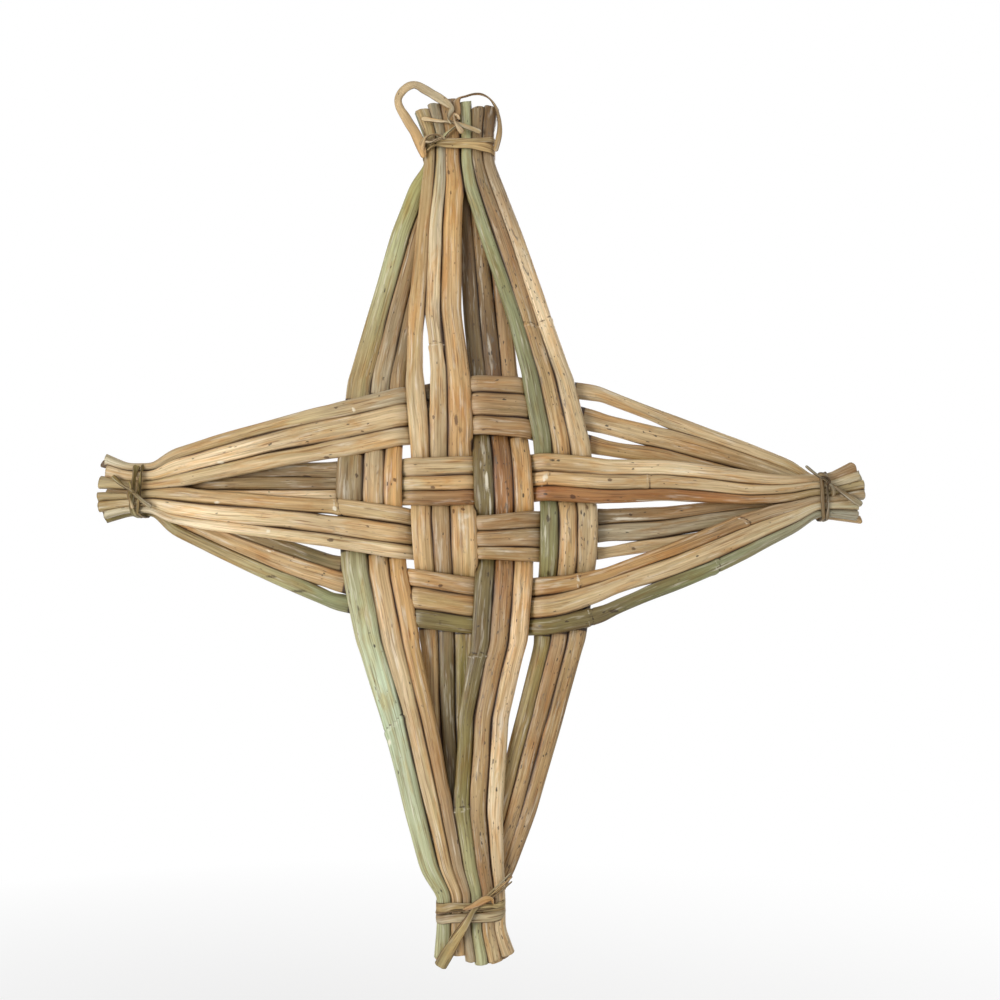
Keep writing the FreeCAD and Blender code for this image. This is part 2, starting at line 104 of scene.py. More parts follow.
# Tints along each reed, from its low end to its high end: mm from the middle of the weave, and the tint
REED_TINTS = {
    "v1a": ((-150, "sage"), (-70, "frosted_sage"), (-38, "sage"), (0, "driftwood"), (60, "olive"),
            (100, "sage"), (140, "meadow"), (165, "frosted_sage")),
    "v1b": ((-150, "straw"), (-110, "pale_straw"), (-60, "pale_straw"), (-25, "straw"), (50, "grey_straw"),
            (100, "tan"), (165, "olive")),
    "v1c": ((-165, "grey_straw"), (-110, "tan"), (-50, "amber"), (-20, "amber"), (25, "amber"),
            (65, "driftwood"), (130, "honey")),
    "v2a": ((-160, "straw"), (-50, "honey"), (-5, "straw"), (35, "pale_straw"), (75, "straw"),
            (110, "honey"), (165, "olive")),
    "v2b": ((-150, "driftwood"), (-60, "dark_olive"), (-20, "tan"), (40, "pale_straw"), (95, "cream"),
            (135, "pale_olive"), (165, "ash")),
    "v2c": ((-150, "driftwood"), (-60, "moss"), (-20, "straw"), (5, "straw"), (25, "amber"), (80, "straw"),
            (130, "amber"), (165, "tan")),
    "v3a": ((-165, "sage"), (-100, "moss"), (-60, "dark_olive"), (-20, "dark_olive"), (20, "dark_olive"),
            (100, "umber"), (160, "umber")),
    "v3b": ((-165, "pale_straw"), (-140, "tan"), (-90, "honey"), (-45, "tan"), (0, "russet"), (60, "umber"),
            (160, "honey")),
    "v3c": ((-165, "pale_straw"), (-110, "cream"), (0, "amber"), (60, "tan"), (160, "umber")),
    "v4a": ((-160, "straw"), (-40, "moss"), (0, "olive_green"), (25, "olive_green"), (45, "olive_green"),
            (85, "green"), (150, "sage")),
    "v4b": ((-160, "straw"), (-60, "tan"), (-5, "straw"), (50, "honey"), (100, "tan"), (160, "driftwood")),
    "v4c": ((-160, "tan"), (-60, "honey"), (-5, "pale_straw"), (50, "pale_straw"), (75, "cream"),
            (160, "umber")),
    "h1a": ((-140, "pale_olive"), (-105, "honey"), (-60, "pale_straw"), (-25, "grey_straw"), (10, "tan"),
            (60, "pale_straw"), (110, "pale_straw"), (150, "olive")),
    "h1b": ((-135, "pale_straw"), (-95, "cream"), (-60, "pale_straw"), (-25, "pale_straw"), (10, "tan"),
            (60, "pale_straw"), (105, "honey"), (150, "pale_olive")),
    "h1c": ((-140, "olive"), (-110, "pale_straw"), (-60, "pale_straw"), (-25, "pale_straw"), (10, "tan"),
            (60, "honey"), (100, "honey"), (150, "driftwood")),
    "h2a": ((-140, "umber"), (-60, "driftwood"), (-20, "pale_straw"), (40, "straw"), (65, "cream"),
            (110, "pale_straw"), (150, "tan")),
    "h2b": ((-140, "honey"), (-60, "driftwood"), (-20, "pale_straw"), (10, "amber"), (65, "pale_straw"),
            (110, "pale_straw"), (155, "pale_olive")),
    "h2c": ((-140, "straw"), (-60, "cream"), (-20, "tan"), (5, "russet"), (50, "russet"), (100, "russet"),
            (140, "olive")),
    "h3a": ((-140, "olive"), (-95, "straw"), (-60, "honey"), (-25, "pale_straw"), (10, "tan"),
            (50, "driftwood"), (85, "tan"), (150, "driftwood")),
    # Cream at the left ends of h3b and h3c is partly the rush's pale colour and partly painted light, where
    # the light at the left falls brightest.
    "h3b": ((-140, "olive"), (-110, "cream"), (-60, "pale_straw"), (-25, "straw"), (10, "tan"),
            (60, "grey_straw"), (150, "driftwood")),
    "h3c": ((-135, "pale_olive"), (-95, "cream"), (-50, "pale_straw"), (-20, "cream"), (10, "honey"),
            (60, "pale_straw"), (150, "honey")),
    "h4a": ((-140, "straw"), (-60, "dark_olive"), (-20, "straw"), (10, "tan"), (60, "amber"), (100, "tan"),
            (150, "grey_straw")),
    "h4b": ((-140, "straw"), (-70, "straw"), (-20, "honey"), (10, "honey"), (60, "pale_straw"),
            (100, "pale_straw"), (150, "pale_olive")),
    "h4c": ((-140, "moss"), (-90, "olive"), (-55, "green"), (-20, "dark_olive"), (10, "moss"),
            (50, "dark_olive"), (90, "green"), (150, "ash")),
}

# Shares of red, green and blue that the dark streaks of rush take away, and that the pale ones add, at a
# strength of 1
DEEP = (0.17, 0.2, 0.27)
LIT = (0.22, 0.21, 0.21)

# Reeds with more dark specks than the rest, as a share of the most that a reed has, and the shares of the
# other reeds and of the strips
SPECKLED = {"v3b": 1.0, "v3c": 0.7, "v4b": 0.8, "v4c": 0.9, "v3a": 0.5, "v2c": 0.35, "h1b": 0.35, "h4a": 0.3}
PLAIN_SPECKS = 0.2
STRIP_SPECKS = 0.12

# Rings where a leaf grew: mm from the middle of the weave, and the lean of the ring across the reed in mm
LEAF_RINGS = {
    "v1a": ((-83.0, 2.2),),
    "v3a": ((-57.0, 0.6), (-114.0, 0.5)),
    "v4b": ((72.0, -1.0),),
    "v4c": ((73.5, 1.0),),
    "v2b": ((64.0, 0.4),),
    "h3a": ((-51.0, -1.2),),
    "h2b": ((30.5, 0.8), (69.0, 0.4)),
    "h4a": ((42.0, 1.2), (106.0, -1.6)),
    "h4c": ((46.0, 1.0), (95.0, 1.2)),
}

# Long splits in the face of a reed: from, to, place across at each end from -1 to 1, and depth in mm
SPLITS = {
    "h2c": ((-27.0, 4.0, 0.15, -0.75, 1.1),),
    "h3c": ((-60.0, -36.0, 0.3, 0.1, 0.7),),
    "v2b": ((58.0, 84.0, 0.9, 0.6, 0.8),),
    "v4b": ((44.0, 82.0, 0.2, 0.5, 0.6),),
    "v1b": ((-140.0, -95.0, 0.2, 0.5, 0.5),),
    "h1b": ((28.0, 60.0, 0.0, 0.3, 0.5),),
}

# Chips, scuffs, dark spots and painted highlights on the front: mm right of and above the middle of the
# weave, half length and half width in mm, and how pale (above 0) or dark (below 0)
SPOTS = {
    "v2c": ((-7.5, 136.0, 1.2, 0.5, -1), (-6.7, 127.1, 1.0, 0.5, -0.8), (-7.9, 125.0, 0.8, 0.4, -0.8),
            (-4.3, 34.1, 3.0, 0.9, -0.9), (-5.9, 36.4, 1.6, 0.5, -0.7), (-2.7, 30.5, 2.0, 0.6, -0.8),
            (-1.1, -5.6, 5.0, 3.4, 0.55), (-4.9, -2.1, 0.8, 0.6, -1.3), (-1.9, -1.7, 0.8, 0.7, -1.4),
            (-3.4, -6.4, 0.9, 0.6, -1.2), (0.1, -6.4, 0.8, 0.8, -1.2), (2.4, -2.9, 0.7, 0.5, -1.1)),
    "v2b": ((-13.3, 35.2, 0.8, 0.7, -1.1), (-10.9, 36.8, 0.5, 0.4, -0.8), (-13.5, 17.8, 0.9, 0.4, -0.5)),
    "v1a": ((-43.3, 12.3, 0.8, 0.5, -1.1), (-28.9, -88.1, 1.2, 1, 1), (-44.8, -35.9, 17.0, 0.45, -0.45),
            (-41.2, -41.6, 14.0, 0.4, -0.45)),
    "v1b": ((-35.2, 13.1, 1.8, 0.4, -1.1), (-34.4, 10.8, 0.9, 0.4, -0.8), (-29.0, -46.1, 2.4, 0.9, -0.5)),
    "v1c": ((-28.6, 10.4, 0.7, 0.5, -1.1), (-25.1, -24.5, 0.9, 0.4, -1.1), (-21.5, -35.1, 1.3, 0.7, -0.9),
            (-20.0, -42.0, 0.9, 0.5, -1.1)),
    # The three long, narrow pale streaks of v3a are painted highlights along its glossy face.
    "v3a": ((5.4, 17.4, 5.0, 0.35, 1.2), (7.0, 9.6, 6.0, 0.4, 1.3), (8.2, 0.2, 6.0, 0.45, 1.3),
            (6.2, 14.3, 1.0, 0.6, -1), (7.0, 1.8, 1.2, 0.5, -1)),
    "v4a": ((30.9, -4.8, 1.4, 0.9, -1.1), (29.7, -9.9, 6.0, 0.4, 0.9), (31.1, -24.8, 2.0, 0.8, -0.9)),
    "v4c": ((45.9, -0.9, 1.2, 0.4, -1), (48.5, -10.2, 2.0, 0.4, -1), (45.3, -16.4, 1.4, 0.4, -1)),
    "h1a": ((-44.9, 38.4, 0.6, 1, 1.3), (-51.2, 38.8, 1.2, 0.3, -0.9), (-48.1, 40.4, 0.6, 0.4, -0.8)),
    "h1b": ((-96.7, 17.7, 1.2, 0.8, 1.2), (-42.0, 30.1, 0.9, 0.5, -1), (56.0, 31.7, 1.2, 0.7, -0.9)),
    "h1c": ((-55.4, 19.4, 1.0, 0.6, -1.1),),
    "h2a": ((-63.4, 11.9, 2.0, 1.2, -1.3), (-15.5, 14.3, 0.9, 0.4, -0.9), (1.6, 14.3, 2.2, 0.3, -0.8),
            (2.4, 12.7, 1.6, 0.3, -0.8)),
    "h2b": ((-13.5, 7.6, 0.9, 0.6, -1), (31.4, 11.2, 1.3, 0.7, 0.8), (54.9, 10.4, 1.4, 0.7, -0.9)),
    "h2c": ((74.1, 2.6, 16.0, 0.22, 0.9), (40.6, 4.1, 0.9, 0.7, -1.1), (1.2, 2.2, 0.9, 0.5, 0.9)),
    "h3a": ((-51.2, -0.6, 1.1, 0.5, 1.0), (-96.7, 1.8, 1.2, 0.7, 1.1), (62.4, -4.0, 10.0, 0.8, 0.8),
            (63.2, -2.5, 0.7, 0.5, -1.1)),
    "h3b": ((-38.7, -7.9, 0.8, 0.4, -0.9), (60.4, -9.9, 5.0, 0.8, -0.5)),
    "h3c": ((-76.7, -9.5, 1.3, 0.7, 1.2), (-52.8, -12.9, 1.6, 0.6, -1.1), (64.1, -16.0, 0.8, 0.5, -1.1)),
    "h4a": ((-10.1, -30.2, 0.7, 0.6, -1.1), (-9.4, -32.1, 0.5, 0.4, 0.9), (42.9, -28.3, 1.0, 0.7, 0.8)),
    "h4b": ((-77.7, -16.4, 2.4, 0.4, 0.9), (-69.1, -20.6, 0.8, 0.5, -1.1), (-68.4, -19.1, 0.5, 0.4, -0.9)),
    "h4c": ((-75.5, -26.4, 3.2, 0.8, -0.8), (-64.7, -32.1, 3.4, 0.9, -0.8), (55.3, -40.1, 1.8, 0.7, -0.8),
            (-10.4, -44.2, 1.2, 0.7, -0.8), (-2.8, -46.5, 1.6, 0.5, -0.8)),
}

# Where a reed bends more sharply than its course: mm from the middle of the weave, and mm up or to the right
BENDS = {
    "v1a": ((-150, -0.4), (-120, 0.8), (-80, 1.2), (-55, 1.6), (-20, 1.5), (6, 0.3), (80, 0.3), (110, 0.0)),
    "v1b": ((-150, 0.0), (-120, 0.8), (-80, 2.0), (-55, 2.4), (-24, 1.9), (-6, 0.6), (18, 0.4), (40, 0.0)),
    "v1c": ((-150, 0.0), (-118, -0.4), (-90, 1.2), (-55, 2.4), (-36, 2.2), (-24, 1.5), (0, 0.6), (18, 0.3),
            (40, 0.0)),
    "v2a": ((-80, 0.0), (-52, 0.8), (-24, 2.2), (0, 1.2), (20, 1.0), (30, 0.7), (36, 0.1), (52, -0.9),
            (75, -0.4), (100, 0.0)),
    "v2b": ((-80, 0.0), (-52, 1.0), (-24, 2.2), (0, 1.6), (24, 0.8), (36, 1.0), (52, 1.2), (80, 0.5),
            (110, 0.0)),
    "v2c": ((-80, 0.0), (-52, 1.0), (-24, 2.3), (-6, 2.3), (10, 1.2), (24, 1.0), (36, 1.4), (52, 1.7),
            (80, 0.4), (110, 0.0)),
    "v3a": ((-168, -1.2), (-150, -1.0), (-125, -0.4), (-108, -1.6), (-90, -1.0), (-60, -2.4), (-50, -2.3),
            (-20, -0.2), (8, -0.8), (28, -1.0), (54, 0.0), (75, -1.0), (100, -0.6)),
    "v3b": ((-160, -0.4), (-140, 0.4), (-114, -1.2), (-90, -1.4), (-60, -2.2), (-50, -2.0), (-20, -0.2),
            (28, -1.0), (54, 0.0)),
    "v3c": ((-144, 0.6), (-114, 0.0), (-90, -0.6), (-60, -1.4), (-50, -1.2), (-20, -0.2), (28, -0.8),
            (54, 0.0)),
    "v4a": ((6, 0.0), (20, -1.0), (52, -0.8), (80, 0.0)),
    "v4b": ((-10, 0.0), (20, -1.1), (52, -0.8), (80, 0.0)),
    "v4c": ((-10, 0.0), (24, -0.8), (52, -0.5), (80, 0.0)),
    "h1a": ((-138, 0.8), (-124, 1.4), (-114, 0.6), (-102, 0.0), (-75, 0.0), (-58, -0.2), (-50, -1.4),
            (-27, -2.5), (-8, -0.6), (4, 0.0), (24, 0.0), (43, 0.8), (52, 0.2), (60, 0.0)),
    "h1b": ((-120, 1.2), (-102, 0.7), (-80, 0.0), (-58, -1.4), (-50, -1.8), (-27, -2.6), (-8, -0.6),
            (4, 0.0), (24, 0.0), (43, 0.9), (52, 0.2), (60, 0.0)),
    "h1c": ((-120, 1.4), (-108, 1.3), (-85, 0.2), (-72, -0.4), (-58, -1.8), (-50, -2.3), (-27, -2.7),
            (-8, -0.6), (4, 0.0), (24, 0.0), (43, 0.6), (60, 0.0)),
    "h2a": ((-75, 0.0), (-52, -0.9), (-12, -1.0), (6, 0.0), (30, 1.6), (45, 1.4), (60, 0.8), (90, 0.0),
            (108, -0.8), (118, -1.2), (132, 0.0), (146, 0.8)),
    "h2b": ((-102, 0.9), (-75, 0.0), (-52, -1.4), (-12, -1.0), (6, 0.0), (30, 1.7), (45, 1.4), (58, 1.0),
            (90, 0.0), (108, -1.2), (118, -1.2), (132, 0.0)),
    "h2c": ((-52, 0.0), (-12, -0.9), (6, 0.0), (30, 1.6), (45, 0.6), (58, -0.3), (80, 0.0)),
    "h3a": ((-138, -0.4), (-128, -0.4), (-118, 1.6), (-96, 1.9), (-75, 2.0), (-45, 1.9), (-27, 1.2),
            (-8, 0.0), (6, -1.6), (24, 0.0), (54, 0.2), (78, 0.0), (125, 0.0)),
    "h3b": ((-132, 0.8), (-114, 0.4), (-96, 0.6), (-72, 1.8), (-58, 1.6), (-27, 0.8), (6, -0.3), (24, 0.0)),
    "h3c": ((-102, 0.6), (-75, 1.1), (-50, 1.0), (-27, 0.4), (6, 1.3), (24, 0.0)),
    "h4a": ((-90, 0.0), (-52, 1.5), (-22, 1.7), (0, -0.6), (30, -1.8), (40, -2.2), (55, -0.6), (90, 0.4),
            (110, 1.0), (122, 0.3), (135, -0.6)),
    "h4b": ((-95, 0.0), (-52, 2.2), (-22, 1.9), (0, -0.4), (22, -3.0), (32, -2.9), (42, -1.0), (54, 1.4),
            (72, 1.0), (95, 0.2), (115, 0.4), (130, -0.2), (145, 0.6)),
    "h4c": ((-110, 0.0), (-102, 0.8), (-85, 1.0), (-52, 2.2), (-22, 2.0), (0, 0.3), (20, -1.0), (32, -2.0),
            (45, -1.2), (54, 0.4), (72, 0.4), (95, 0.0), (112, 0.8), (124, 0.3)),
}

# A tie goes round its arm on a course with rounded corners: 1 would be an ellipse, and less is squarer. The
# strip keeps facing front, side or back, and turns only near the corners, the later the larger FACE_POWER.
COURSE_POWER = 0.42
FACE_POWER = 3.8

# Share of the way round a tie between two rows of its course
TURN_STEP = 0.012

# Ties: middle in mm from the nail, axis of the arm (2 up, 0 across), half width and half depth of the
# winding's course, and its turns. A turn has rows of (share of the way round from the left or top side over
# the front, mm along the arm, width in mm, twist in degrees, lift in mm), and then the tints at its start
# and end.
TIES = {
    "top": ((18.9, 0.0, -26.6), 2, 14.4, 4.88, (
        (((-0.02, -3.4, 2.0, 0, 0), (0.06, -3.2, 1.8, 0, 0), (0.13, -1.6, 2.0, 20, 0.2),
          (0.19, -0.2, 2.4, 60, 0.4), (0.225, 0.3, 3.2, 10, 0.3), (0.3, -0.5, 4.0, 0, 0.1),
          (0.42, -1.6, 4.8, 0, 0), (0.5, -1.9, 4.6, 0, 0), (0.62, -1.6, 4.2, 0, 0), (0.85, -2.6, 3.8, 0, 0),
          (1.0, -3.4, 3.2, 0, 0)), "olive", "amber"),
        (((-0.05, 1.2, 3.0, 0, 0), (0.05, 0.4, 3.4, 0, 0), (0.1, 1.4, 2.2, 30, 0.5),
          (0.15, 2.2, 1.9, 60, 0.6), (0.2, 1.8, 2.4, 120, 0.3), (0.26, 1.9, 2.4, 180, 0),
          (0.4, 2.6, 2.8, 180, 0), (0.5, 2.6, 3.0, 180, 0), (0.7, 2.8, 3.2, 180, 0),
          (0.95, 1.2, 3.0, 180, 0)), "olive", "tan"))),
    "bottom": ((24.3, 0.0, -323.6), 2, 12.5, 4.88, (
        (((-0.03, 2.2, 3.2, 0, 0), (0.05, 1.6, 3.2, 0, 0), (0.16, 1.5, 3.6, 0, 0.1),
          (0.22, 2.4, 2.8, 20, 0.3), (0.3, 2.3, 1.8, 60, 0.3), (0.37, 2.5, 2.8, 0, 0.2),
          (0.46, 3.0, 3.2, 0, 0), (0.55, 2.8, 3.2, 0, 0), (0.75, 2.4, 3.2, 0, 0), (0.97, 2.2, 3.2, 0, 0)),
         "olive", "olive"),
        (((-0.03, -2.4, 2.8, 0, 0), (0.05, -2.6, 2.8, 0, 0), (0.14, -2.5, 3.4, 0, 0),
          (0.22, -1.9, 3.4, 30, 0.3), (0.3, -1.4, 4.2, 0, 0.1), (0.4, -0.6, 3.8, 0, 0),
          (0.47, 0.1, 2.8, 0, 0), (0.55, -0.3, 2.8, 0, 0), (0.75, -1.6, 3.6, 0, 0),
          (0.97, -2.4, 2.8, 0, 0)), "grey_straw", "olive"),
        (((0.0, -0.1, 1.5, 0, 0), (0.1, -0.4, 1.5, 40, 0.2), (0.18, 0.2, 1.6, 80, 0.5),
          (0.25, 0.9, 2.0, 100, 0.6), (0.32, 1.2, 1.8, 140, 0.5), (0.4, 1.3, 1.4, 180, 0.2),
          (0.47, 1.3, 1.3, 180, 0)), "driftwood", "olive"))),
    "left": ((-104.1, 0.0, -167.0), 0, 10.0, 4.88, (
        (((-0.03, 0.0, 2.6, 0, 0), (0.05, -0.6, 2.8, 0, 0), (0.14, -1.3, 2.8, 30, 0.2),
          (0.22, -1.6, 2.2, 70, 0.5), (0.3, -2.4, 2.0, 40, 0.3), (0.4, -1.6, 2.6, 0, 0),
          (0.5, -1.1, 2.8, 0, 0), (0.75, -1.2, 2.8, 0, 0), (0.97, 0.0, 2.6, 0, 0)), "moss", "grey_straw"),
        (((-0.03, 2.6, 1.6, 0, 0), (0.06, 1.6, 1.8, 30, 0), (0.14, 1.0, 1.9, 80, 0.2),
          (0.22, 0.9, 2.0, 120, 0.4), (0.3, 0.4, 1.8, 160, 0.6), (0.38, -0.2, 1.6, 180, 0.3),
          (0.46, 0.9, 1.6, 180, 0), (0.55, 1.6, 1.8, 180, 0), (0.75, 1.8, 2.0, 180, 0),
          (0.97, 2.6, 1.6, 180, 0)), "moss", "driftwood"))),
    "right": ((160.4, 0.0, -169.3), 0, 9.1, 4.88, (
        (((-0.03, -0.2, 1.5, 0, 0), (0.08, -0.9, 1.6, 20, 0), (0.2, -1.0, 1.7, 0, 0.1),
          (0.3, -0.9, 1.8, 10, 0), (0.42, -0.5, 1.5, 0, 0), (0.5, -0.4, 1.5, 0, 0), (0.75, -0.7, 1.6, 0, 0),
          (0.97, -0.2, 1.5, 0, 0)), "driftwood", "driftwood"),
        (((-0.03, 1.6, 1.5, 0, 0), (0.06, 1.2, 1.6, 40, 0.1), (0.14, 0.9, 1.6, 90, 0.3),
          (0.25, 1.1, 1.5, 60, 0.1), (0.36, 0.8, 1.5, 0, 0), (0.46, 1.1, 1.3, 0, 0), (0.55, 1.2, 1.4, 0, 0),
          (0.75, 1.1, 1.6, 0, 0), (0.97, 1.6, 1.5, 0, 0)), "driftwood", "ash"))),
}

# Loose strips: rows of (x, y, z, width in mm, twist in degrees) from the nail, and the tints at both ends
STRIPS = {
    "tie_top": (
        (((4.6, -4.9, -31.4, 1.8, 0), (3.9, -5.3, -28.6, 3.0, 10), (4.4, -5.7, -26.0, 2.8, 10),
          (5.6, -5.9, -23.9, 1.6, 30), (8.6, -6.1, -22.7, 1.7, 60), (11.6, -6.0, -23.1, 1.8, 40),
          (13.4, -5.7, -24.6, 1.5, 20)), "amber", "pale_olive"),
        (((5.0, -5.8, -25.4, 1.5, 0), (7.4, -6.2, -26.0, 1.4, 40), (10.0, -6.3, -25.2, 1.5, 80),
          (12.4, -6.0, -23.6, 1.3, 40)), "grey_straw", "cream"),
        (((12.6, -5.6, -23.4, 1.3, 0), (14.4, -5.9, -21.7, 1.4, 40), (16.3, -6.1, -20.2, 1.5, 60),
          (18.4, -6.2, -18.8, 1.4, 80)), "sage", "pale_olive")),
    "tie_bottom": (
        (((21.6, -5.8, -322.4, 1.6, 0), (24.6, -6.5, -321.2, 2.2, 30), (27.6, -6.9, -319.6, 2.8, 10),
          (30.4, -6.7, -318.4, 2.6, 0), (32.2, -6.0, -318.6, 1.6, -30), (32.6, -5.6, -320.4, 1.4, -60)),
         "tan", "amber"),
        (((30.0, -6.4, -317.6, 0.9, 0), (34.9, -6.2, -313.2, 0.8, 20), (39.4, -6.1, -309.2, 0.6, 40)),
         "olive", "pale_olive"),
        (((30.6, -6.2, -318.0, 0.9, 0), (35.4, -6.2, -314.2, 0.9, 20), (39.6, -6.0, -310.6, 0.7, 40)),
         "olive", "honey"),
        (((31.4, -6.1, -318.6, 0.9, 0), (36.0, -6.1, -315.2, 0.8, 30), (39.5, -6.0, -312.3, 0.5, 60)),
         "driftwood", "olive"),
        (((27.4, -6.0, -320.4, 1.8, 0), (25.4, -6.7, -322.4, 2.2, 20), (23.8, -7.0, -325.2, 2.6, 10),
          (22.2, -6.7, -328.2, 3.0, 0), (19.6, -6.2, -332.0, 3.7, 0), (17.3, -5.8, -335.6, 4.6, 0),
          (15.0, -5.6, -339.2, 5.3, 5), (13.1, -5.5, -342.4, 5.2, 8)), "olive", "olive"),
        (((24.6, -6.2, -323.0, 1.0, 0), (21.6, -6.6, -326.4, 1.0, 40), (18.6, -6.2, -330.2, 0.9, 60),
          (16.4, -5.9, -333.4, 0.5, 90)), "honey", "olive")),
    "tie_left": (
        (((-114.2, -5.2, -161.8, 2.0, 0), (-111.6, -5.8, -164.2, 2.0, 30), (-108.8, -6.4, -166.3, 1.9, 60),
          (-106.2, -6.9, -167.6, 1.9, 40), (-104.0, -6.8, -169.8, 1.7, 20), (-101.4, -6.3, -172.0, 1.7, 0),
          (-98.4, -5.9, -174.2, 2.0, 0)), "moss", "grey_straw"),
        (((-107.4, -5.9, -164.0, 1.4, 0), (-106.4, -6.6, -166.6, 1.6, 40), (-107.4, -6.7, -169.0, 1.6, 80),
          (-106.6, -6.2, -171.6, 1.5, 60), (-105.6, -5.7, -174.6, 1.8, 20)), "moss", "cream"),
        (((-104.6, -6.0, -164.4, 1.3, 0), (-103.8, -6.9, -167.0, 1.4, 60), (-104.6, -7.2, -168.6, 1.3, 90),
          (-106.6, -6.9, -168.2, 1.2, 60), (-107.6, -6.2, -166.8, 1.1, 20)), "driftwood", "moss")),
    "tie_right": (
        (((153.3, -5.4, -157.9, 1.2, 0), (155.8, -5.8, -160.3, 1.3, 20), (158.3, -6.3, -162.4, 1.5, 50),
          (160.3, -6.7, -163.6, 1.6, 80), (161.8, -6.3, -165.0, 1.3, 40), (162.0, -5.7, -167.2, 1.1, 0)),
         "ash", "driftwood"),
        (((157.6, -5.7, -161.6, 1.8, 0), (159.4, -6.4, -161.5, 2.2, 30), (161.4, -6.6, -162.6, 2.0, 60),
          (162.0, -6.3, -164.6, 1.6, 90), (160.6, -6.0, -165.4, 1.4, 120)), "driftwood", "umber"),
        (((161.2, -6.2, -164.4, 1.0, 0), (162.8, -6.5, -166.2, 1.7, 20), (163.4, -6.4, -168.0, 1.9, 20),
          (163.0, -6.0, -170.0, 1.0, 0)), "ash", "driftwood"),
        (((162.6, -6.0, -165.4, 1.5, 0), (165.2, -6.1, -167.2, 1.7, 20), (168.4, -5.9, -169.4, 2.2, 10),
          (171.4, -5.7, -171.4, 2.8, 0), (174.2, -5.6, -173.2, 2.6, 0)), "driftwood", "ash")),
    "hanging_loop": (
        (((5.0, -4.9, -32.0, 2.2, 0), (4.0, -5.3, -28.8, 3.4, 0), (2.6, -5.2, -24.6, 4.2, 5),
          (0.8, -4.6, -20.5, 4.0, 10), (-1.2, -3.8, -17.0, 4.0, 5), (-3.0, -2.8, -13.4, 3.9, 10),
          (-4.9, -1.6, -9.8, 3.7, 20), (-6.0, -0.7, -6.6, 3.5, 10), (-6.1, -0.3, -4.2, 3.4, 0),
          (-5.0, -0.2, -1.7, 3.3, -10), (-3.5, -0.3, 0.0, 3.4, 0), (-1.6, -0.4, 1.3, 3.7, 5),
          (0.5, -0.5, 1.7, 3.9, 15), (2.3, -0.8, 1.0, 3.9, 10), (4.4, -1.9, -0.9, 4.0, 0),
          (7.6, -3.7, -3.8, 4.1, 0), (11.0, -5.3, -6.8, 3.8, 0), (14.0, -6.3, -9.5, 3.2, 0),
          (15.9, -6.9, -12.0, 2.4, 20), (15.0, -7.1, -14.6, 2.6, 50), (14.7, -7.1, -16.6, 2.3, 80),
          (15.9, -7.0, -18.6, 1.8, 100)), "amber", "pale_olive"),
        (((3.8, -5.2, -15.5, 1.6, 0), (4.8, -5.3, -15.6, 2.2, 0), (8.0, -5.4, -16.1, 2.0, 0),
          (11.2, -5.7, -16.8, 1.9, 20), (14.2, -6.2, -17.3, 1.9, 40), (17.2, -6.3, -17.7, 1.9, 20),
          (20.4, -6.1, -18.8, 2.0, 0), (24.0, -5.8, -20.0, 2.1, 0), (27.8, -5.6, -21.5, 2.0, 0)),
         "pale_straw", "pale_olive"),
        (((19.2, -5.8, -16.2, 1.4, 0), (17.9, -6.7, -14.6, 1.6, 30), (16.9, -7.2, -14.6, 1.6, 60),
          (16.9, -7.3, -16.6, 1.7, 60), (18.1, -7.4, -19.2, 2.0, 30), (19.6, -7.0, -21.2, 2.5, 10),
          (20.4, -6.6, -22.4, 2.2, 0)), "cream", "pale_straw"),
        (((17.6, -5.5, -16.0, 1.6, 0), (18.5, -5.3, -13.4, 2.6, 0), (18.2, -5.0, -10.6, 3.2, 0),
          (17.9, -4.7, -8.2, 3.2, 10), (18.9, -4.3, -6.3, 2.2, 40), (21.6, -4.4, -5.4, 1.6, 70),
          (24.6, -4.6, -4.6, 1.5, 80), (27.6, -4.7, -4.6, 1.5, 80), (31.0, -4.8, -6.4, 1.6, 60),
          (33.5, -4.9, -9.8, 1.8, 50), (35.0, -5.0, -14.6, 2.0, 40), (35.4, -5.2, -20.2, 2.2, 20),
          (34.4, -5.4, -26.0, 2.4, 0), (33.6, -5.5, -29.6, 2.0, 0)), "tan", "honey")),
}


def linear(code):
    """An sRGB hex colour as linear red, green and blue."""
    values = [int(code[at:at + 2], 16) / 255.0 for at in (0, 2, 4)]
    return tuple(v / 12.92 if v <= 0.04045 else ((v + 0.055) / 1.055) ** 2.4 for v in values)


def tint(name, code):
    return FloatVectorProperty(name=name, description="Colour of " + name.lower() + " rush", subtype="COLOR",
                               size=3, min=0.0, max=1.0, default=linear(code))


def length(name, description, mm):
    return FloatProperty(name=name, description=description, default=mm * MM, min=0.0, unit="LENGTH",
                         precision=5)


class RushTints(bpy.types.PropertyGroup):
    """Colours that dried rush takes along its stems"""
    straw: tint("Straw", "BFA276")
    pale_straw: tint("Pale straw", "C1AB85")
    # Cream also paints, in part, the brighter light on the left arm where h3b and h3c use it.
    cream: tint("Cream", "DFCAA6")
    grey_straw: tint("Grey straw", "A3967B")
    honey: tint("Honey", "AB8F63")
    amber: tint("Amber", "BD9864")
    tan: tint("Tan", "9A7E58")
    russet: tint("Russet", "996C40")
    umber: tint("Umber", "634C2B")
    driftwood: tint("Driftwood", "827051")
    ash: tint("Ash", "96917E")
    olive: tint("Olive", "A39268")
    pale_olive: tint("Pale olive", "BBB296")
    meadow: tint("Meadow", "A7A265")
    sage: tint("Sage", "A6A780")
    frosted_sage: tint("Frosted sage", "B2BFA2")
    moss: tint("Moss", "837741")
    dark_olive: tint("Dark olive", "6F623E")
    olive_green: tint("Olive green", "7E7D59")
    green: tint("Green", "858962")


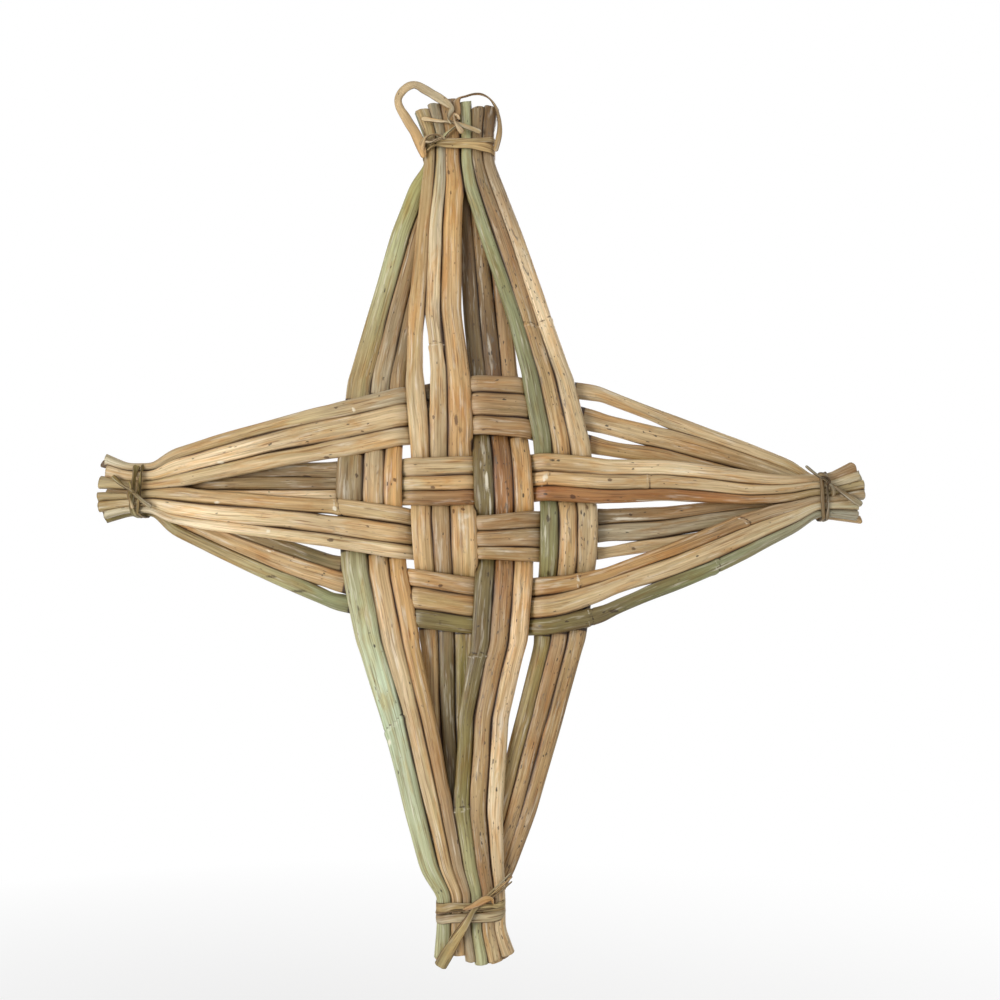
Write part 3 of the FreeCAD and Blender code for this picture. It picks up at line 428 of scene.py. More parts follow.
class ReedSizes(bpy.types.PropertyGroup):
    """Sizes of the reeds' surface"""
    ring_step: length("Ring spacing", "Distance between rings of points along a reed", 0.8)
    facets: IntProperty(name="Points around", description="Points in each ring", default=28, min=8)
    fullness: FloatProperty(name="Fullness", default=2.5, min=2.0, max=6.0,
                            description="Section of a reed, 2 for an ellipse and more for a box")
    ridge: length("Ridge depth", "Depth of the fine ribs along a stem", 0.11)
    crease: length("Crease depth", "Depth of the channels where a stem has collapsed", 0.6)
    wall: length("Wall", "Thickness of a stem's wall, seen at its cut end", 0.75)
    hollow: length("Hollow", "Depth of the pith below the cut", 1.6)
    ragged: length("Ragged cut", "How far the cut end is uneven", 0.9)
    sway: length("Sway", "How far a stem strays from its straight course", 0.36)


class StripSizes(bpy.types.PropertyGroup):
    """Sizes of the strips that tie and hang the cross"""
    ring_step: length("Ring spacing", "Distance between rings of points along a strip", 0.45)
    facets: IntProperty(name="Points around", description="Points in each ring", default=20, min=8)
    thickness: length("Thickness", "Thickness of a strip", 0.95)
    rib: length("Rib depth", "Depth of the fibres along a strip", 0.22)


def mm_of(value):
    return value / MM


def new_mesh(name, points, faces, tint_and_shade, grain, marks):
    """A mesh object from points in mm, with a tint and an amount of painted shade, a place in the grain and
    marks at each point.
    """
    mesh = bpy.data.meshes.new(name)
    mesh.from_pydata((points * MM).tolist(), [], faces)
    mesh.shade_smooth()
    layer = mesh.attributes.new("tint_and_shade", "FLOAT_COLOR", "POINT")
    layer.data.foreach_set("color", tint_and_shade.astype(np.float32).ravel())
    layer = mesh.attributes.new("grain", "FLOAT_VECTOR", "POINT")
    layer.data.foreach_set("vector", grain.astype(np.float32).ravel())
    layer = mesh.attributes.new("marks", "FLOAT_VECTOR", "POINT")
    layer.data.foreach_set("vector", marks.astype(np.float32).ravel())
    piece = bpy.data.objects.new(name, mesh)
    bpy.context.scene.collection.objects.link(piece)
    return piece


def wander(rng, places, span):
    """A smooth random course between -1 and 1, with a new direction about every span."""
    start = places.min() - span
    knots = rng.uniform(-1.0, 1.0, int((places.max() - start) / span) + 3)
    at = (places - start) / span
    low = at.astype(int)
    share = at - low
    share = share * share * (3.0 - 2.0 * share)
    return knots[low] * (1.0 - share) + knots[low + 1] * share


def soften(values, spread):
    """Values one mm apart with their sharp bends rounded, and their ends kept."""
    reach = int(math.ceil(3.0 * spread))
    kernel = np.exp(-0.5 * (np.arange(-reach, reach + 1) / spread) ** 2)
    padded = np.pad(values, reach, mode="reflect", reflect_type="odd")
    return np.convolve(padded, kernel / kernel.sum(), mode="valid")


def unit(vectors):
    return vectors / np.linalg.norm(vectors, axis=-1, keepdims=True)


def ring_faces(first, rings, around):
    """Quads that join rings of points, each ring beginning where the last one ends."""
    here = first + np.arange(rings - 1)[:, None] * around + np.arange(around)[None, :]
    beside = first + np.arange(rings - 1)[:, None] * around + (np.arange(around)[None, :] + 1) % around
    return np.stack((here, beside, beside + around, here + around), axis=-1).reshape(-1, 4).tolist()


def sweep(centres, side, out, half_width, half_depth, relief, fullness):
    """Rings of points round a course: a rounded flat section, moved outwards by its relief."""
    around = relief.shape[1]
    angle = 2.0 * math.pi * np.arange(around) / around
    power = 2.0 / fullness
    across = np.sign(np.cos(angle)) * np.abs(np.cos(angle)) ** power
    deep = np.sign(np.sin(angle)) * np.abs(np.sin(angle)) ** power
    x = half_width[:, None] * across + relief * np.cos(angle)
    y = half_depth[:, None] * deep + relief * np.sin(angle)
    return centres[:, None, :] + x[..., None] * side[:, None, :] + y[..., None] * out[:, None, :]


def slice_reed(node, axis):
    """Station, low and high edge, depth and half thickness of a reed, from its CAD solid and its bends."""
    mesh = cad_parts[node].data
    points = np.empty(len(mesh.vertices) * 3)
    mesh.vertices.foreach_get("co", points)
    points = points.reshape(-1, 3) / MM - WEAVE_MIDDLE
    edges = np.empty(len(mesh.edges) * 2, int)
    mesh.edges.foreach_get("vertices", edges)
    start, end = points[edges.reshape(-1, 2)].transpose(1, 0, 2)
    across = 2 - axis
    rows = []
    for place in np.arange(points[:, axis].min() + 0.02, points[:, axis].max() - 0.01, 1.0):
        crossed = (start[:, axis] - place) * (end[:, axis] - place) < 0.0
        a, b = start[crossed], end[crossed]
        share = (place - a[:, axis]) / (b[:, axis] - a[:, axis])
        cut = a + (b - a) * share[:, None]
        front, back = cut[:, 1].min(), cut[:, 1].max()
        rows.append((place, cut[:, across].min(), cut[:, across].max(), (front + back) / 2.0,
                     (back - front) / 2.0))
    course = np.array(rows).T
    bend = np.interp(course[0], *np.array(BENDS[node[-3:]]).T)
    course[1:3] += soften(bend, BEND_SOFT)
    return course


def close_seams(name, courses):
    """Both edges of a reed, carried on to its neighbours in its layer, and how far each edge is pressed."""
    station, low, high, deep = courses[name][:4]
    beside_low = np.full(len(station), WIDE_GAP)
    beside_high = np.full(len(station), WIDE_GAP)
    for other, course in courses.items():
        if other == name or other[0] != name[0]:
            continue
        other_low, other_high, other_deep = (np.interp(station, course[0], row) for row in course[1:4])
        level = (np.abs(other_deep - deep) < ONE_LAYER) & (station > course[0][0]) & (station < course[0][-1])
        right = level & (other_low + other_high > low + high)
        left = level & (other_low + other_high < low + high)
        beside_high[right] = np.minimum(beside_high, other_low - high)[right]
        beside_low[left] = np.minimum(beside_low, low - other_high)[left]
    swell = np.where(np.abs(station) < WEAVE_REACH, WEAVE_SWELL, EDGE_SWELL)
    grown, pressed = [], []
    for gap in (beside_low, beside_high):
        near = np.clip((WIDE_GAP - gap) / 0.8, 0.0, 1.0)
        grown.append(near * (gap / 2.0 + SEAM_PRESS) + (1.0 - near) * swell)
        pressed.append(near)
    return low - grown[0], high + grown[1], pressed[0], pressed[1]


def tint_along(name, places, tints):
    stops = REED_TINTS[name]
    colours = np.array([getattr(tints, stop[1]) for stop in stops])
    marks = [stop[0] for stop in stops]
    return np.stack([np.interp(places, marks, colours[:, channel]) for channel in range(3)], axis=1)


def pulse(places, start, end, soft):
    """1 between start and end, falling to 0 over soft on either side."""
    rise = np.clip((places - start) / soft + 0.5, 0.0, 1.0)
    fall = np.clip((end - places) / soft + 0.5, 0.0, 1.0)
    return rise * rise * (3.0 - 2.0 * rise) * fall * fall * (3.0 - 2.0 * fall)


def reed_relief(name, rng, places, angle, sizes):
    """Ribs, collapsed channels, splits and leaf rings, as mm outwards, and the strength of the leaf rings."""
    ribs = np.zeros((len(places), len(angle)))
    for count, share in ((5, 0.5), (9, 0.3), (14, 0.2)):
        phase = rng.uniform(0.0, 2.0 * math.pi) + 1.2 * wander(rng, places, 45.0)
        ribs += share * (0.5 + 0.5 * np.cos(count * angle[None, :] + phase[:, None]))
    relief = -mm_of(sizes.ridge) * ribs * (0.7 + 0.3 * wander(rng, places, 20.0)[:, None])
    for facing in (0.5 * math.pi, 0.5 * math.pi, 1.5 * math.pi):
        middle = facing + rng.uniform(-0.75, 0.75) + 0.25 * wander(rng, places, 60.0)
        begin = rng.uniform(places[0], places[-1] - 60.0)
        depth = mm_of(sizes.crease) * rng.uniform(0.15, 1.0)
        depth = depth * pulse(places, begin, begin + rng.uniform(40, 140), 25)
        gap = np.angle(np.exp(1j * (angle[None, :] - middle[:, None])))
        relief -= depth[:, None] * np.exp(-(gap / 0.2) ** 2)
    for begin, end, low, high, depth in SPLITS.get(name, ()):
        share = np.clip((places - begin) / (end - begin), 0.0, 1.0)
        middle = np.arccos(low + (high - low) * share)
        gap = angle[None, :] - middle[:, None]
        relief -= depth * pulse(places, begin, end, 6.0)[:, None] * np.exp(-(gap / 0.12) ** 2)
    ring = np.zeros_like(relief)
    for place, lean in LEAF_RINGS.get(name, ()):
        uneven = 0.5 * wander(rng, np.arange(len(angle)) * 1.0, 4.0)
        off = places[:, None] - place - (lean * np.cos(angle) + uneven)[None, :]
        relief += 0.3 * np.exp(-(off / 1.4) ** 2) - 0.34 * np.exp(-((off - 1.2) / 0.5) ** 2)
        ring += 0.55 * np.exp(-(off / 0.6) ** 2) - 0.75 * np.exp(-((off - 1.2) / 0.5) ** 2)
    return relief, ring


def axis_of(name):
    return 2 if name[0] == "v" else 0


def crossing_shade(name, courses, places, middle, deep):
    """Painted shade where reeds cross: how near each place is to a reed that crosses in front, and to one
    that crosses behind, from 0 to 1.
    """
    front, back = np.zeros(len(places)), np.zeros(len(places))
    for other, course in courses.items():
        if other[0] == name[0]:
            continue
        low, high, other_deep = (np.interp(middle, course[0], row) for row in course[1:4])
        away = np.maximum(np.maximum(low - places, places - high), 0.0)
        near = np.exp(-(away / CROSSING_SHADE) ** 2) * (np.abs(middle) < WEAVE_REACH)
        front = np.maximum(front, near * (other_deep < deep - CROSSING_DEPTH))
        back = np.maximum(back, near * (other_deep > deep + CROSSING_DEPTH))
    return front, back


def turned(side, out, angle):
    """Both directions across a course, turned about it by an angle at each point."""
    cosine, sine = np.cos(angle)[:, None], np.sin(angle)[:, None]
    return side * cosine + out * sine, out * cosine - side * sine


def tint_and_shade_reed(name, rng, places, angle, pressed, shade, tints):
    """Tint at each point of a reed, and from 0 to 1 how much painted shade it takes at its sides, seams and
    crossings.
    """
    tint_and_shade = np.ones((len(places), len(angle), 4))
    tint_and_shade[..., :3] = tint_along(name, places, tints)[:, None, :]
    tint_and_shade[..., :3] *= (1.0 + 0.08 * wander(rng, places, 22.0))[:, None, None]
    low, high = (edge * (0.78 + 0.32 * wander(rng, places, 9.0)) for edge in pressed)
    seam = np.where(np.cos(angle)[None, :] > 0.0, high[:, None], low[:, None])
    front, back = shade
    crossed = np.where(np.sin(angle)[None, :] > 0.0, front[:, None], back[:, None])
    # The alpha is painted shade: along the sides of the reed, deeper at a seam where a neighbour presses, and
    # near a reed that crosses in front or behind.
    tint_and_shade[..., 3] = np.maximum((1.0 - np.abs(np.sin(angle)))[None, :] * (0.3 + 0.7 * seam), 0.75 * crossed)
    return tint_and_shade


def mark_reed(name, rng, places, angle, middle, half_width, ring):
    """Leaf rings, chips, spots and painted highlights at each point of a reed, its cut (none here) and its
    share of specks.
    """
    marks = np.zeros((len(places), len(angle), 3))
    marks[..., 0] = ring
    for right, up, half_long, half_wide, strength in SPOTS.get(name, ()):
        along_mm, across_mm = (right, up) if axis_of(name) == 0 else (up, right)
        grown = 1.0 + 0.5 * wander(rng, angle * 2.0 * half_width.mean(), 0.8)[None, :]
        off = ((places - along_mm) / half_long)[:, None] ** 2
        off = off + ((middle[:, None] + half_width[:, None] * np.cos(angle) - across_mm) / half_wide) ** 2
        marks[..., 0] += strength * np.exp(-off * grown) * (np.sin(angle) > 0.0)
    marks[..., 2] = SPECKLED.get(name, PLAIN_SPECKS)
    return marks


def cut_end(rng, points, end, inward, angle, sizes):
    """Cuts one end of a reed slanted and ragged, and gives the rings of its wall and of the pith inside."""
    cut = 0.5 + 0.5 * wander(rng, np.arange(len(angle)) * 1.0, 5.0)
    cut[-2:] = cut[0]
    slant = rng.uniform(-0.9, 0.9) * np.cos(angle)
    back = mm_of(sizes.ragged) * cut + np.maximum(slant, 0.0)
    near = np.arange(CUT_RINGS) if end == 0 else end - np.arange(CUT_RINGS)
    fade = (1.0 - np.arange(CUT_RINGS) / CUT_RINGS)[:, None, None]
    points[near] += fade * back[None, :, None] * inward[None, None, :]
    rim = points[end]
    heart = rim.mean(axis=0)
    share = np.minimum(0.8, mm_of(sizes.wall) / np.linalg.norm(rim - heart, axis=1))
    inner = rim + (heart - rim) * share[:, None]
    floor = heart + (inner - heart) * 0.9 + inward * mm_of(sizes.hollow)
    core = heart + (inner - heart) * 0.35 + inward * mm_of(sizes.hollow) * 0.75
    return np.stack((rim, inner, floor, core))


def end_faces(end, first, rings, around):
    """Faces from a reed's ring at one end over the rings of its wall and pith, and the one that closes it."""
    faces = ring_faces(first, rings, around)
    faces += [[end * around + k, end * around + (k + 1) % around, first + (k + 1) % around, first + k]
              for k in range(around)]
    faces.append(list(range(first + (rings - 1) * around, first + rings * around)))
    return [face[::-1] for face in faces] if end == 0 else faces


def make_reed(name, seed, courses, sizes, tints):
    """One dried stem on the course of its CAD solid, with a cut, ragged and pithy end at both ends."""
    rng = np.random.default_rng(seed)
    axis = axis_of(name)
    station, _, _, deep, half_deep = courses[name]
    low, high, pressed_low, pressed_high = close_seams(name, courses)
    low, high, deep = soften(low, EDGE_SOFT), soften(high, EDGE_SOFT), soften(deep, DEPTH_SOFT)
    count = int((station[-1] - station[0]) / mm_of(sizes.ring_step))
    places = np.linspace(station[0], station[-1], count)
    in_arm = np.clip((np.abs(places) - ARM_START) / ARM_FADE, 0.0, 1.0)
    in_arm = in_arm * np.clip((places[-1] - places) / END_FADE, 0.0, 1.0)
    in_arm = in_arm * np.clip((places - places[0]) / END_FADE, 0.0, 1.0)
    low, high, deep, half_deep, pressed_low, pressed_high = (
        np.interp(places, station, row) for row in (low, high, deep, half_deep, pressed_low, pressed_high))
    sway = mm_of(sizes.sway)
    middle = (low + high) / 2.0 + sway * in_arm * wander(rng, places, 40.0)
    deep = deep + sway * in_arm * (wander(rng, places, 35.0) + rng.uniform(-0.6, 0.6))
    half_width = (high - low) / 2.0 + 0.12 * wander(rng, places, 16.0)
    half_deep = half_deep * (0.96 + 0.04 * wander(rng, places, 25.0))
    centres = np.zeros((count, 3))
    centres[:, axis] = places
    centres[:, 2 - axis] = middle
    centres[:, 1] = deep
    along = unit(np.gradient(centres, axis=0))
    across = np.zeros(3)
    across[2 - axis] = 1.0
    side = unit(across - along * (along @ across)[:, None])
    out = np.cross(along, side)
    out = out * np.sign(out @ FRONT)[:, None]
    side, out = turned(side, out, 0.2 * wander(rng, places, 70.0) * in_arm)
    around = sizes.facets
    angle = 2.0 * math.pi * np.arange(around) / around
    relief, ring = reed_relief(name, rng, places, angle, sizes)
    points = sweep(centres, side, out, half_width, half_deep, relief, sizes.fullness)
    circle = np.cumsum(np.full(around, 2.0 * math.pi / around)) * half_width.mean()
    shape = points.shape[:2]
    grain = np.stack((np.broadcast_to(places[:, None], shape), np.broadcast_to(circle[None, :], shape),
                      np.full(shape, 7.3 * seed)), axis=-1)
    shade = crossing_shade(name, courses, places, middle, deep)
    tint_and_shade = tint_and_shade_reed(name, rng, places, angle, (pressed_low, pressed_high), shade, tints)
    marks = mark_reed(name, rng, places, angle, middle, half_width, ring)
    stacks = [points], [tint_and_shade], [grain], [marks]
    faces = ring_faces(0, count, around)
    first = count * around
    for end in (0, count - 1):
        inward = along[end] * (1.0 if end == 0 else -1.0)
        rings = cut_end(rng, points, end, inward, angle, sizes)
        more_marks = np.zeros(rings.shape)
        more_marks[..., 1] = np.array((0.5, 1.0, 1.0, 1.0))[:, None]
        same = [end] * len(rings)
        for stack, more in zip(stacks, (rings, tint_and_shade[same], grain[same], more_marks)):
            stack.append(more)
        faces += end_faces(end, first, len(rings), around)
        first += len(rings) * around
    points, tint_and_shade, grain, marks = (np.concatenate(stack) for stack in stacks)
    return new_mesh("stem_" + name, points.reshape(-1, 3) + WEAVE_MIDDLE, faces, tint_and_shade, grain, marks)


def smooth_course(rows, step):
    """Rows laid on a smooth curve through the given rows, one about every step mm."""
    rows = np.array(rows, float)
    chord = np.concatenate(([0.0], np.cumsum(np.linalg.norm(np.diff(rows[:, :3], axis=0), axis=1))))
    slope = np.gradient(rows, chord, axis=0)
    places = np.linspace(0.0, chord[-1], int(chord[-1] / step) + 2)
    low = np.clip(np.searchsorted(chord, places, side="right") - 1, 0, len(rows) - 2)
    span = (chord[low + 1] - chord[low])[:, None]
    t = (places - chord[low])[:, None] / span
    return ((2 * t ** 3 - 3 * t ** 2 + 1) * rows[low] + (t ** 3 - 2 * t ** 2 + t) * span * slope[low]
            + (3 * t ** 2 - 2 * t ** 3) * rows[low + 1] + (t ** 3 - t ** 2) * span * slope[low + 1])


def turn_rows(tie, stations):
    """Rows of one turn of a tie: place, width, twist and the way its face looks."""
    middle, axis, half_width, half_depth, turns = TIES[tie]
    share = np.array([station[0] for station in stations])
    steps = np.arange(share[0], share[-1], TURN_STEP)
    along, width, twist, lift = (np.interp(steps, share, [station[column] for station in stations])
                                 for column in (1, 2, 3, 4))
    angle = math.pi * (1.0 - 2.0 * steps)
    across = np.sign(np.cos(angle)) * np.abs(np.cos(angle)) ** COURSE_POWER
    deep = -np.sign(np.sin(angle)) * np.abs(np.sin(angle)) ** COURSE_POWER
    face = np.zeros((len(steps), 3))
    sign = 1.0 if axis == 2 else -1.0
    face[:, 2 - axis] = sign * np.sign(across) * np.abs(across) ** FACE_POWER
    face[:, 1] = np.sign(deep) * np.abs(deep) ** FACE_POWER
    face = unit(face)
    places = np.tile(np.array(middle), (len(steps), 1)) + face * lift[:, None]
    places[:, 2 - axis] += sign * half_width * across
    places[:, 1] += half_depth * deep
    places[:, axis] += along
    return np.c_[places, width, twist, face]


def make_strip(rng, rows, tint_names, tints, sizes):
    """A flat strip of rush along its rows, as points, faces, tint with painted shade at its sides, grain and
    marks.
    """
    rows = np.array(rows, float)
    if rows.shape[1] == 5:
        rows = np.c_[rows, np.tile(FRONT, (len(rows), 1))]
    rows = smooth_course(rows, mm_of(sizes.ring_step))
    centres, width, twist, face = rows[:, :3], rows[:, 3], np.radians(rows[:, 4]), unit(rows[:, 5:])
    count = len(rows)
    around = sizes.facets
    places = np.arange(count) * mm_of(sizes.ring_step)
    along = unit(np.gradient(centres, axis=0))
    side = unit(np.cross(along, face))
    out = np.cross(side, along)
    side, out = turned(side, out, twist)
    angle = 2.0 * math.pi * np.arange(around) / around
    relief = np.zeros((count, around))
    for ribs, share in ((4, 0.4), (7, 0.35), (11, 0.25)):
        phase = rng.uniform(0.0, 2.0 * math.pi) + 1.5 * wander(rng, places, 12.0)
        relief -= share * (0.5 + 0.5 * np.cos(ribs * angle[None, :] + phase[:, None]))
    relief *= mm_of(sizes.rib)
    half_width = width / 2.0 * (1.0 + 0.08 * wander(rng, places, 5.0))
    half_depth = np.full(count, mm_of(sizes.thickness) / 2.0) * (1.0 + 0.12 * wander(rng, places, 4.0))
    taper = np.minimum(1.0, 0.55 + np.minimum(places, places[::-1]) / 1.2)
    points = sweep(centres, side, out, half_width * taper, half_depth * taper, relief, 2.5)
    shape = points.shape[:2]
    grain = np.stack((np.broadcast_to(places[:, None], shape), np.broadcast_to(angle[None, :] * 0.9, shape),
                      np.full(shape, rng.uniform(300.0, 600.0))), axis=-1)
    ends = np.array([getattr(tints, name) for name in tint_names])
    share = (places / places[-1])[:, None]
    tint_and_shade = np.ones((*shape, 4))
    tint_and_shade[..., :3] = ((1.0 - share) * ends[0] + share * ends[1])[:, None, :]
    tint_and_shade[..., :3] *= (1.0 + 0.14 * wander(rng, places, 6.0))[:, None, None]
    # The alpha is painted shade along both sides of the strip.
    tint_and_shade[..., 3] = 0.5 * (1.0 - np.abs(np.sin(angle)))[None, :]
    marks = np.zeros(points.shape)
    marks[..., 2] = STRIP_SPECKS
    marks[[0, -1], :, 1] = 0.4
    faces = ring_faces(0, count, around)
    faces += [list(range(around))[::-1], list(range((count - 1) * around, count * around))]
    return points.reshape(-1, 3), faces, tint_and_shade.reshape(-1, 4), grain.reshape(-1, 3), marks.reshape(-1, 3)


def joined(name, parts):
    """One mesh object of several strips."""
    faces = []
    first = 0
    for points, own_faces, *rest in parts:
        faces += [[first + corner for corner in face] for face in own_faces]
        first += len(points)
    points, tint_and_shade, grain, marks = (
        np.concatenate([part[column] for part in parts]) for column in (0, 2, 3, 4))
    return new_mesh(name, points, faces, tint_and_shade, grain, marks)


def add(tree, kind, links=None, **settings):
    """Adds a node with its settings, and gives each named input a value or a link."""
    node = tree.nodes.new(kind)
    for name, value in settings.items():
        setattr(node, name, value)
    for name, value in (links or {}).items():
        if isinstance(value, bpy.types.NodeSocket):
            tree.links.new(value, node.inputs[name])
        else:
            node.inputs[name].default_value = value
    return node


def rush_finish(name, streak_mm, fibre_mm, rough, bump_mm, strength):
    """Dried rush: streaks and fibres along it, stains, scratches, specks, leaf rings and pith at the cuts,
    with painted highlights from the marks and painted shade at sides, seams and crossings.
    """
    material = bpy.data.materials.new(name)
    material.use_nodes = True
    tree = material.node_tree
    tree.nodes.clear()
    grain = add(tree, "ShaderNodeAttribute", attribute_name="grain").outputs["Vector"]
    tinted = add(tree, "ShaderNodeAttribute", attribute_name="tint_and_shade").outputs
    marks = add(tree, "ShaderNodeAttribute", attribute_name="marks").outputs["Vector"]
    mark = add(tree, "ShaderNodeSeparateXYZ", {"Vector": marks}).outputs

    # Noises: mm along the stem and mm across it, detail, roughness and distortion. Real fibres are about
    # 0.1 mm wide, too fine to show in the render, so they and the scratches are drawn two to five times as
    # wide.
    noises = {
        "streaks": (34.0 * streak_mm, streak_mm, 3.0, 0.6, 0.0),
        "fibres": (80.0 * fibre_mm, fibre_mm, 2.0, 0.6, 0.0),
        "scratches": (60.0 * fibre_mm, 1.6 * fibre_mm, 1.0, 0.5, 0.3),
        "browning": (17.0, 2.8, 4.0, 0.62, 0.5),
        "greening": (46.0, 4.5, 2.0, 0.5, 0.0),
        "smudges": (5.5, 1.3, 3.0, 0.6, 0.8),
        "bloom": (15.0, 1.3, 3.0, 0.6, 0.0),
        "wobble": (1.4, 0.7, 2.0, 0.5, 0.0),
    }
    # edge is the painted shade held in the alpha of the tint: at the sides, in pressed seams and near
    # crossings.
    value = {"edge": tinted["Alpha"], "cut": mark[1], "speckled": mark[2]}
    for pattern, (along_mm, across_mm, detail, roughness, distortion) in noises.items():
        place = add(tree, "ShaderNodeVectorMath", {0: grain, 1: (1.0 / along_mm, 1.0 / across_mm, 1.0)},
                    operation="MULTIPLY").outputs[0]
        noise = add(tree, "ShaderNodeTexNoise", {"Vector": place, "Scale": 1.0, "Detail": detail,
                                                 "Roughness": roughness, "Distortion": distortion}).outputs
        value[pattern] = noise["Color" if pattern == "wobble" else "Fac"]

    # Specks: a cell about every 2.4 mm along and 0.9 mm across, moved a little, some of them left bare
    place = add(tree, "ShaderNodeVectorMath", {0: grain, 1: (1.0 / 2.4, 1.0 / 0.9, 1.0)},
                operation="MULTIPLY").outputs[0]
    moved = add(tree, "ShaderNodeVectorMath", {0: value["wobble"], 1: (0.8, 0.8, 0.0), 2: place},
                operation="MULTIPLY_ADD").outputs[0]
    cells = add(tree, "ShaderNodeTexVoronoi", {"Vector": moved, "Scale": 1.0}).outputs
    chance = add(tree, "ShaderNodeSeparateColor", {"Color": cells["Color"]}).outputs
    filled = add(tree, "ShaderNodeMath", {0: mark[2], 1: 0.6}, operation="MULTIPLY").outputs[0]
    value["drawn"] = add(tree, "ShaderNodeMath", {0: chance[0], 1: filled}, operation="LESS_THAN").outputs[0]
    size = add(tree, "ShaderNodeMapRange", {"Value": chance[1], "To Min": 0.1, "To Max": 0.36}).outputs[0]
    uneven = add(tree, "ShaderNodeMapRange", {"Value": value["fibres"], "From Min": 0.35, "From Max": 0.65,
                                              "To Min": 0.55, "To Max": 1.3}).outputs[0]
    reach = add(tree, "ShaderNodeMath", {0: size, 1: uneven}, operation="MULTIPLY").outputs[0]
    value["speck"] = add(tree, "ShaderNodeMath", {0: reach, 1: cells["Distance"]},
                         operation="SUBTRACT").outputs[0]

    # Leaf rings, chips, dark spots and painted highlights, torn at their edges by the smudges
    torn = add(tree, "ShaderNodeMath", {0: value["smudges"], 1: -0.5}, operation="ADD").outputs[0]
    value["pale"] = add(tree, "ShaderNodeMath", {0: torn, 1: mark[0]}, operation="ADD").outputs[0]
    value["dark"] = add(tree, "ShaderNodeMath", {0: torn, 1: mark[0]}, operation="SUBTRACT").outputs[0]

    # Layers of colour, from the bottom up. Each has the patterns that place it, with the values where it
    # begins and where it is full and its strength at both, whether it is laid on or multiplied in, and its
    # colour.
    lit = tuple(1.0 + strength * share for share in LIT)
    shaded = tuple((1.0 - strength * share) / top for share, top in zip(DEEP, lit))
    layers = (
        ((("streaks", 0.66, 0.34, 0.0, 1.0),), "MULTIPLY", shaded),
        ((("greening", 0.54, 0.72, 0.0, 0.6),), "MULTIPLY", (0.9, 0.97, 0.86)),
        ((("browning", 0.48, 0.66, 0.0, 0.85),), "MULTIPLY", (0.88, 0.68, 0.45)),
        ((("bloom", 0.56, 0.74, 0.0, 0.5),), "MIX", linear("E6DFCE")),
        ((("fibres", 0.5, 0.3, 0.0, 0.6 * strength),), "MULTIPLY", (0.64, 0.55, 0.45)),
        ((("scratches", 0.63, 0.7, 0.0, 0.6 * strength),), "MULTIPLY", (0.46, 0.36, 0.27)),
        # Painted shade at the sides, in pressed seams and near crossings: browner first, more so where the
        # browning is strong, then nearly black.
        ((("edge", 0.08, 0.5, 0.0, 1.0), ("browning", 0.3, 0.65, 0.4, 1.0)), "MULTIPLY", (0.72, 0.58, 0.42)),
        ((("edge", 0.25, 0.5, 0.0, 0.96),), "MULTIPLY", (0.09, 0.06, 0.045)),
        ((("smudges", 0.6, 0.7, 0.0, 1.0), ("speckled", 0.0, 1.0, 0.12, 0.8)), "MIX", linear("5E5448")),
        ((("drawn", 0.0, 1.0, 0.0, 0.85), ("speck", 0.0, 0.12, 0.0, 1.0)), "MIX", linear("33261B")),
        ((("pale", 0.35, 0.75, 0.0, 0.7),), "MIX", linear("EAE2CC")),
        ((("dark", 0.35, 0.6, 0.0, 0.85),), "MULTIPLY", (0.22, 0.16, 0.13)),
        ((("cut", 0.0, 1.0, 0.0, 0.7),), "MIX", linear("A8926C")),
    )
    colour = add(tree, "ShaderNodeVectorMath", {0: tinted["Color"], 1: lit}, operation="MULTIPLY").outputs[0]
    for patterns, way, paint in layers:
        amount = 1.0
        for pattern, begins, full, least, most in patterns:
            share = add(tree, "ShaderNodeMapRange",
                        {"Value": value[pattern], "From Min": begins, "From Max": full, "To Min": least,
                         "To Max": most}).outputs[0]
            amount = add(tree, "ShaderNodeMath", {0: share, 1: amount}, operation="MULTIPLY").outputs[0]
        colour = add(tree, "ShaderNodeMix", {0: amount, 6: colour, 7: (*paint, 1.0)}, data_type="RGBA",
                     blend_type=way).outputs[2]

    fine = add(tree, "ShaderNodeMath", {0: value["streaks"], 1: value["fibres"]}, operation="ADD").outputs[0]
    height = add(tree, "ShaderNodeMath", {0: fine, 1: value["scratches"]}, operation="SUBTRACT").outputs[0]
    bump = add(tree, "ShaderNodeBump",
               {"Height": height, "Strength": 0.8, "Distance": bump_mm * MM}).outputs[0]
    gloss = add(tree, "ShaderNodeMapRange", {"Value": value["bloom"], "From Min": 0.4, "From Max": 0.7,
                                             "To Min": rough - 0.08, "To Max": rough + 0.16}).outputs[0]
    shader = add(tree, "ShaderNodeBsdfPrincipled", {"Base Color": colour, "Roughness": gloss, "IOR": 1.45,
                                                    "Normal": bump})
    add(tree, "ShaderNodeOutputMaterial", {"Surface": shader.outputs[0]})
    return material


class BRIGID_OT_reeds(bpy.types.Operator):
    """Lay a dried stem on each reed of the weave"""
    bl_idname = "brigid.reeds"
    bl_label = "Woven reeds"

    def execute(self, context):
        # Sun-dried soft rush keeps its wax, so the flattened stems shine softly in streaks
        finish = rush_finish("Dried rush, flattened and woven, satin", streak_mm=0.9, fibre_mm=0.28,
                             rough=0.42, bump_mm=0.16, strength=1.24)
        names = [family + band + letter for family in "vh" for band in "1234" for letter in REED_LETTERS]
        courses = {name: slice_reed("reed_" + name, axis_of(name)) for name in names}
        for seed, name in enumerate(names):
            stem = make_reed(name, seed + 1, courses, context.scene.brigid_reeds, context.scene.brigid_tints)
            stem.data.materials.append(finish)
            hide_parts("reed_" + name)
            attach(stem, "root")
        return {"FINISHED"}


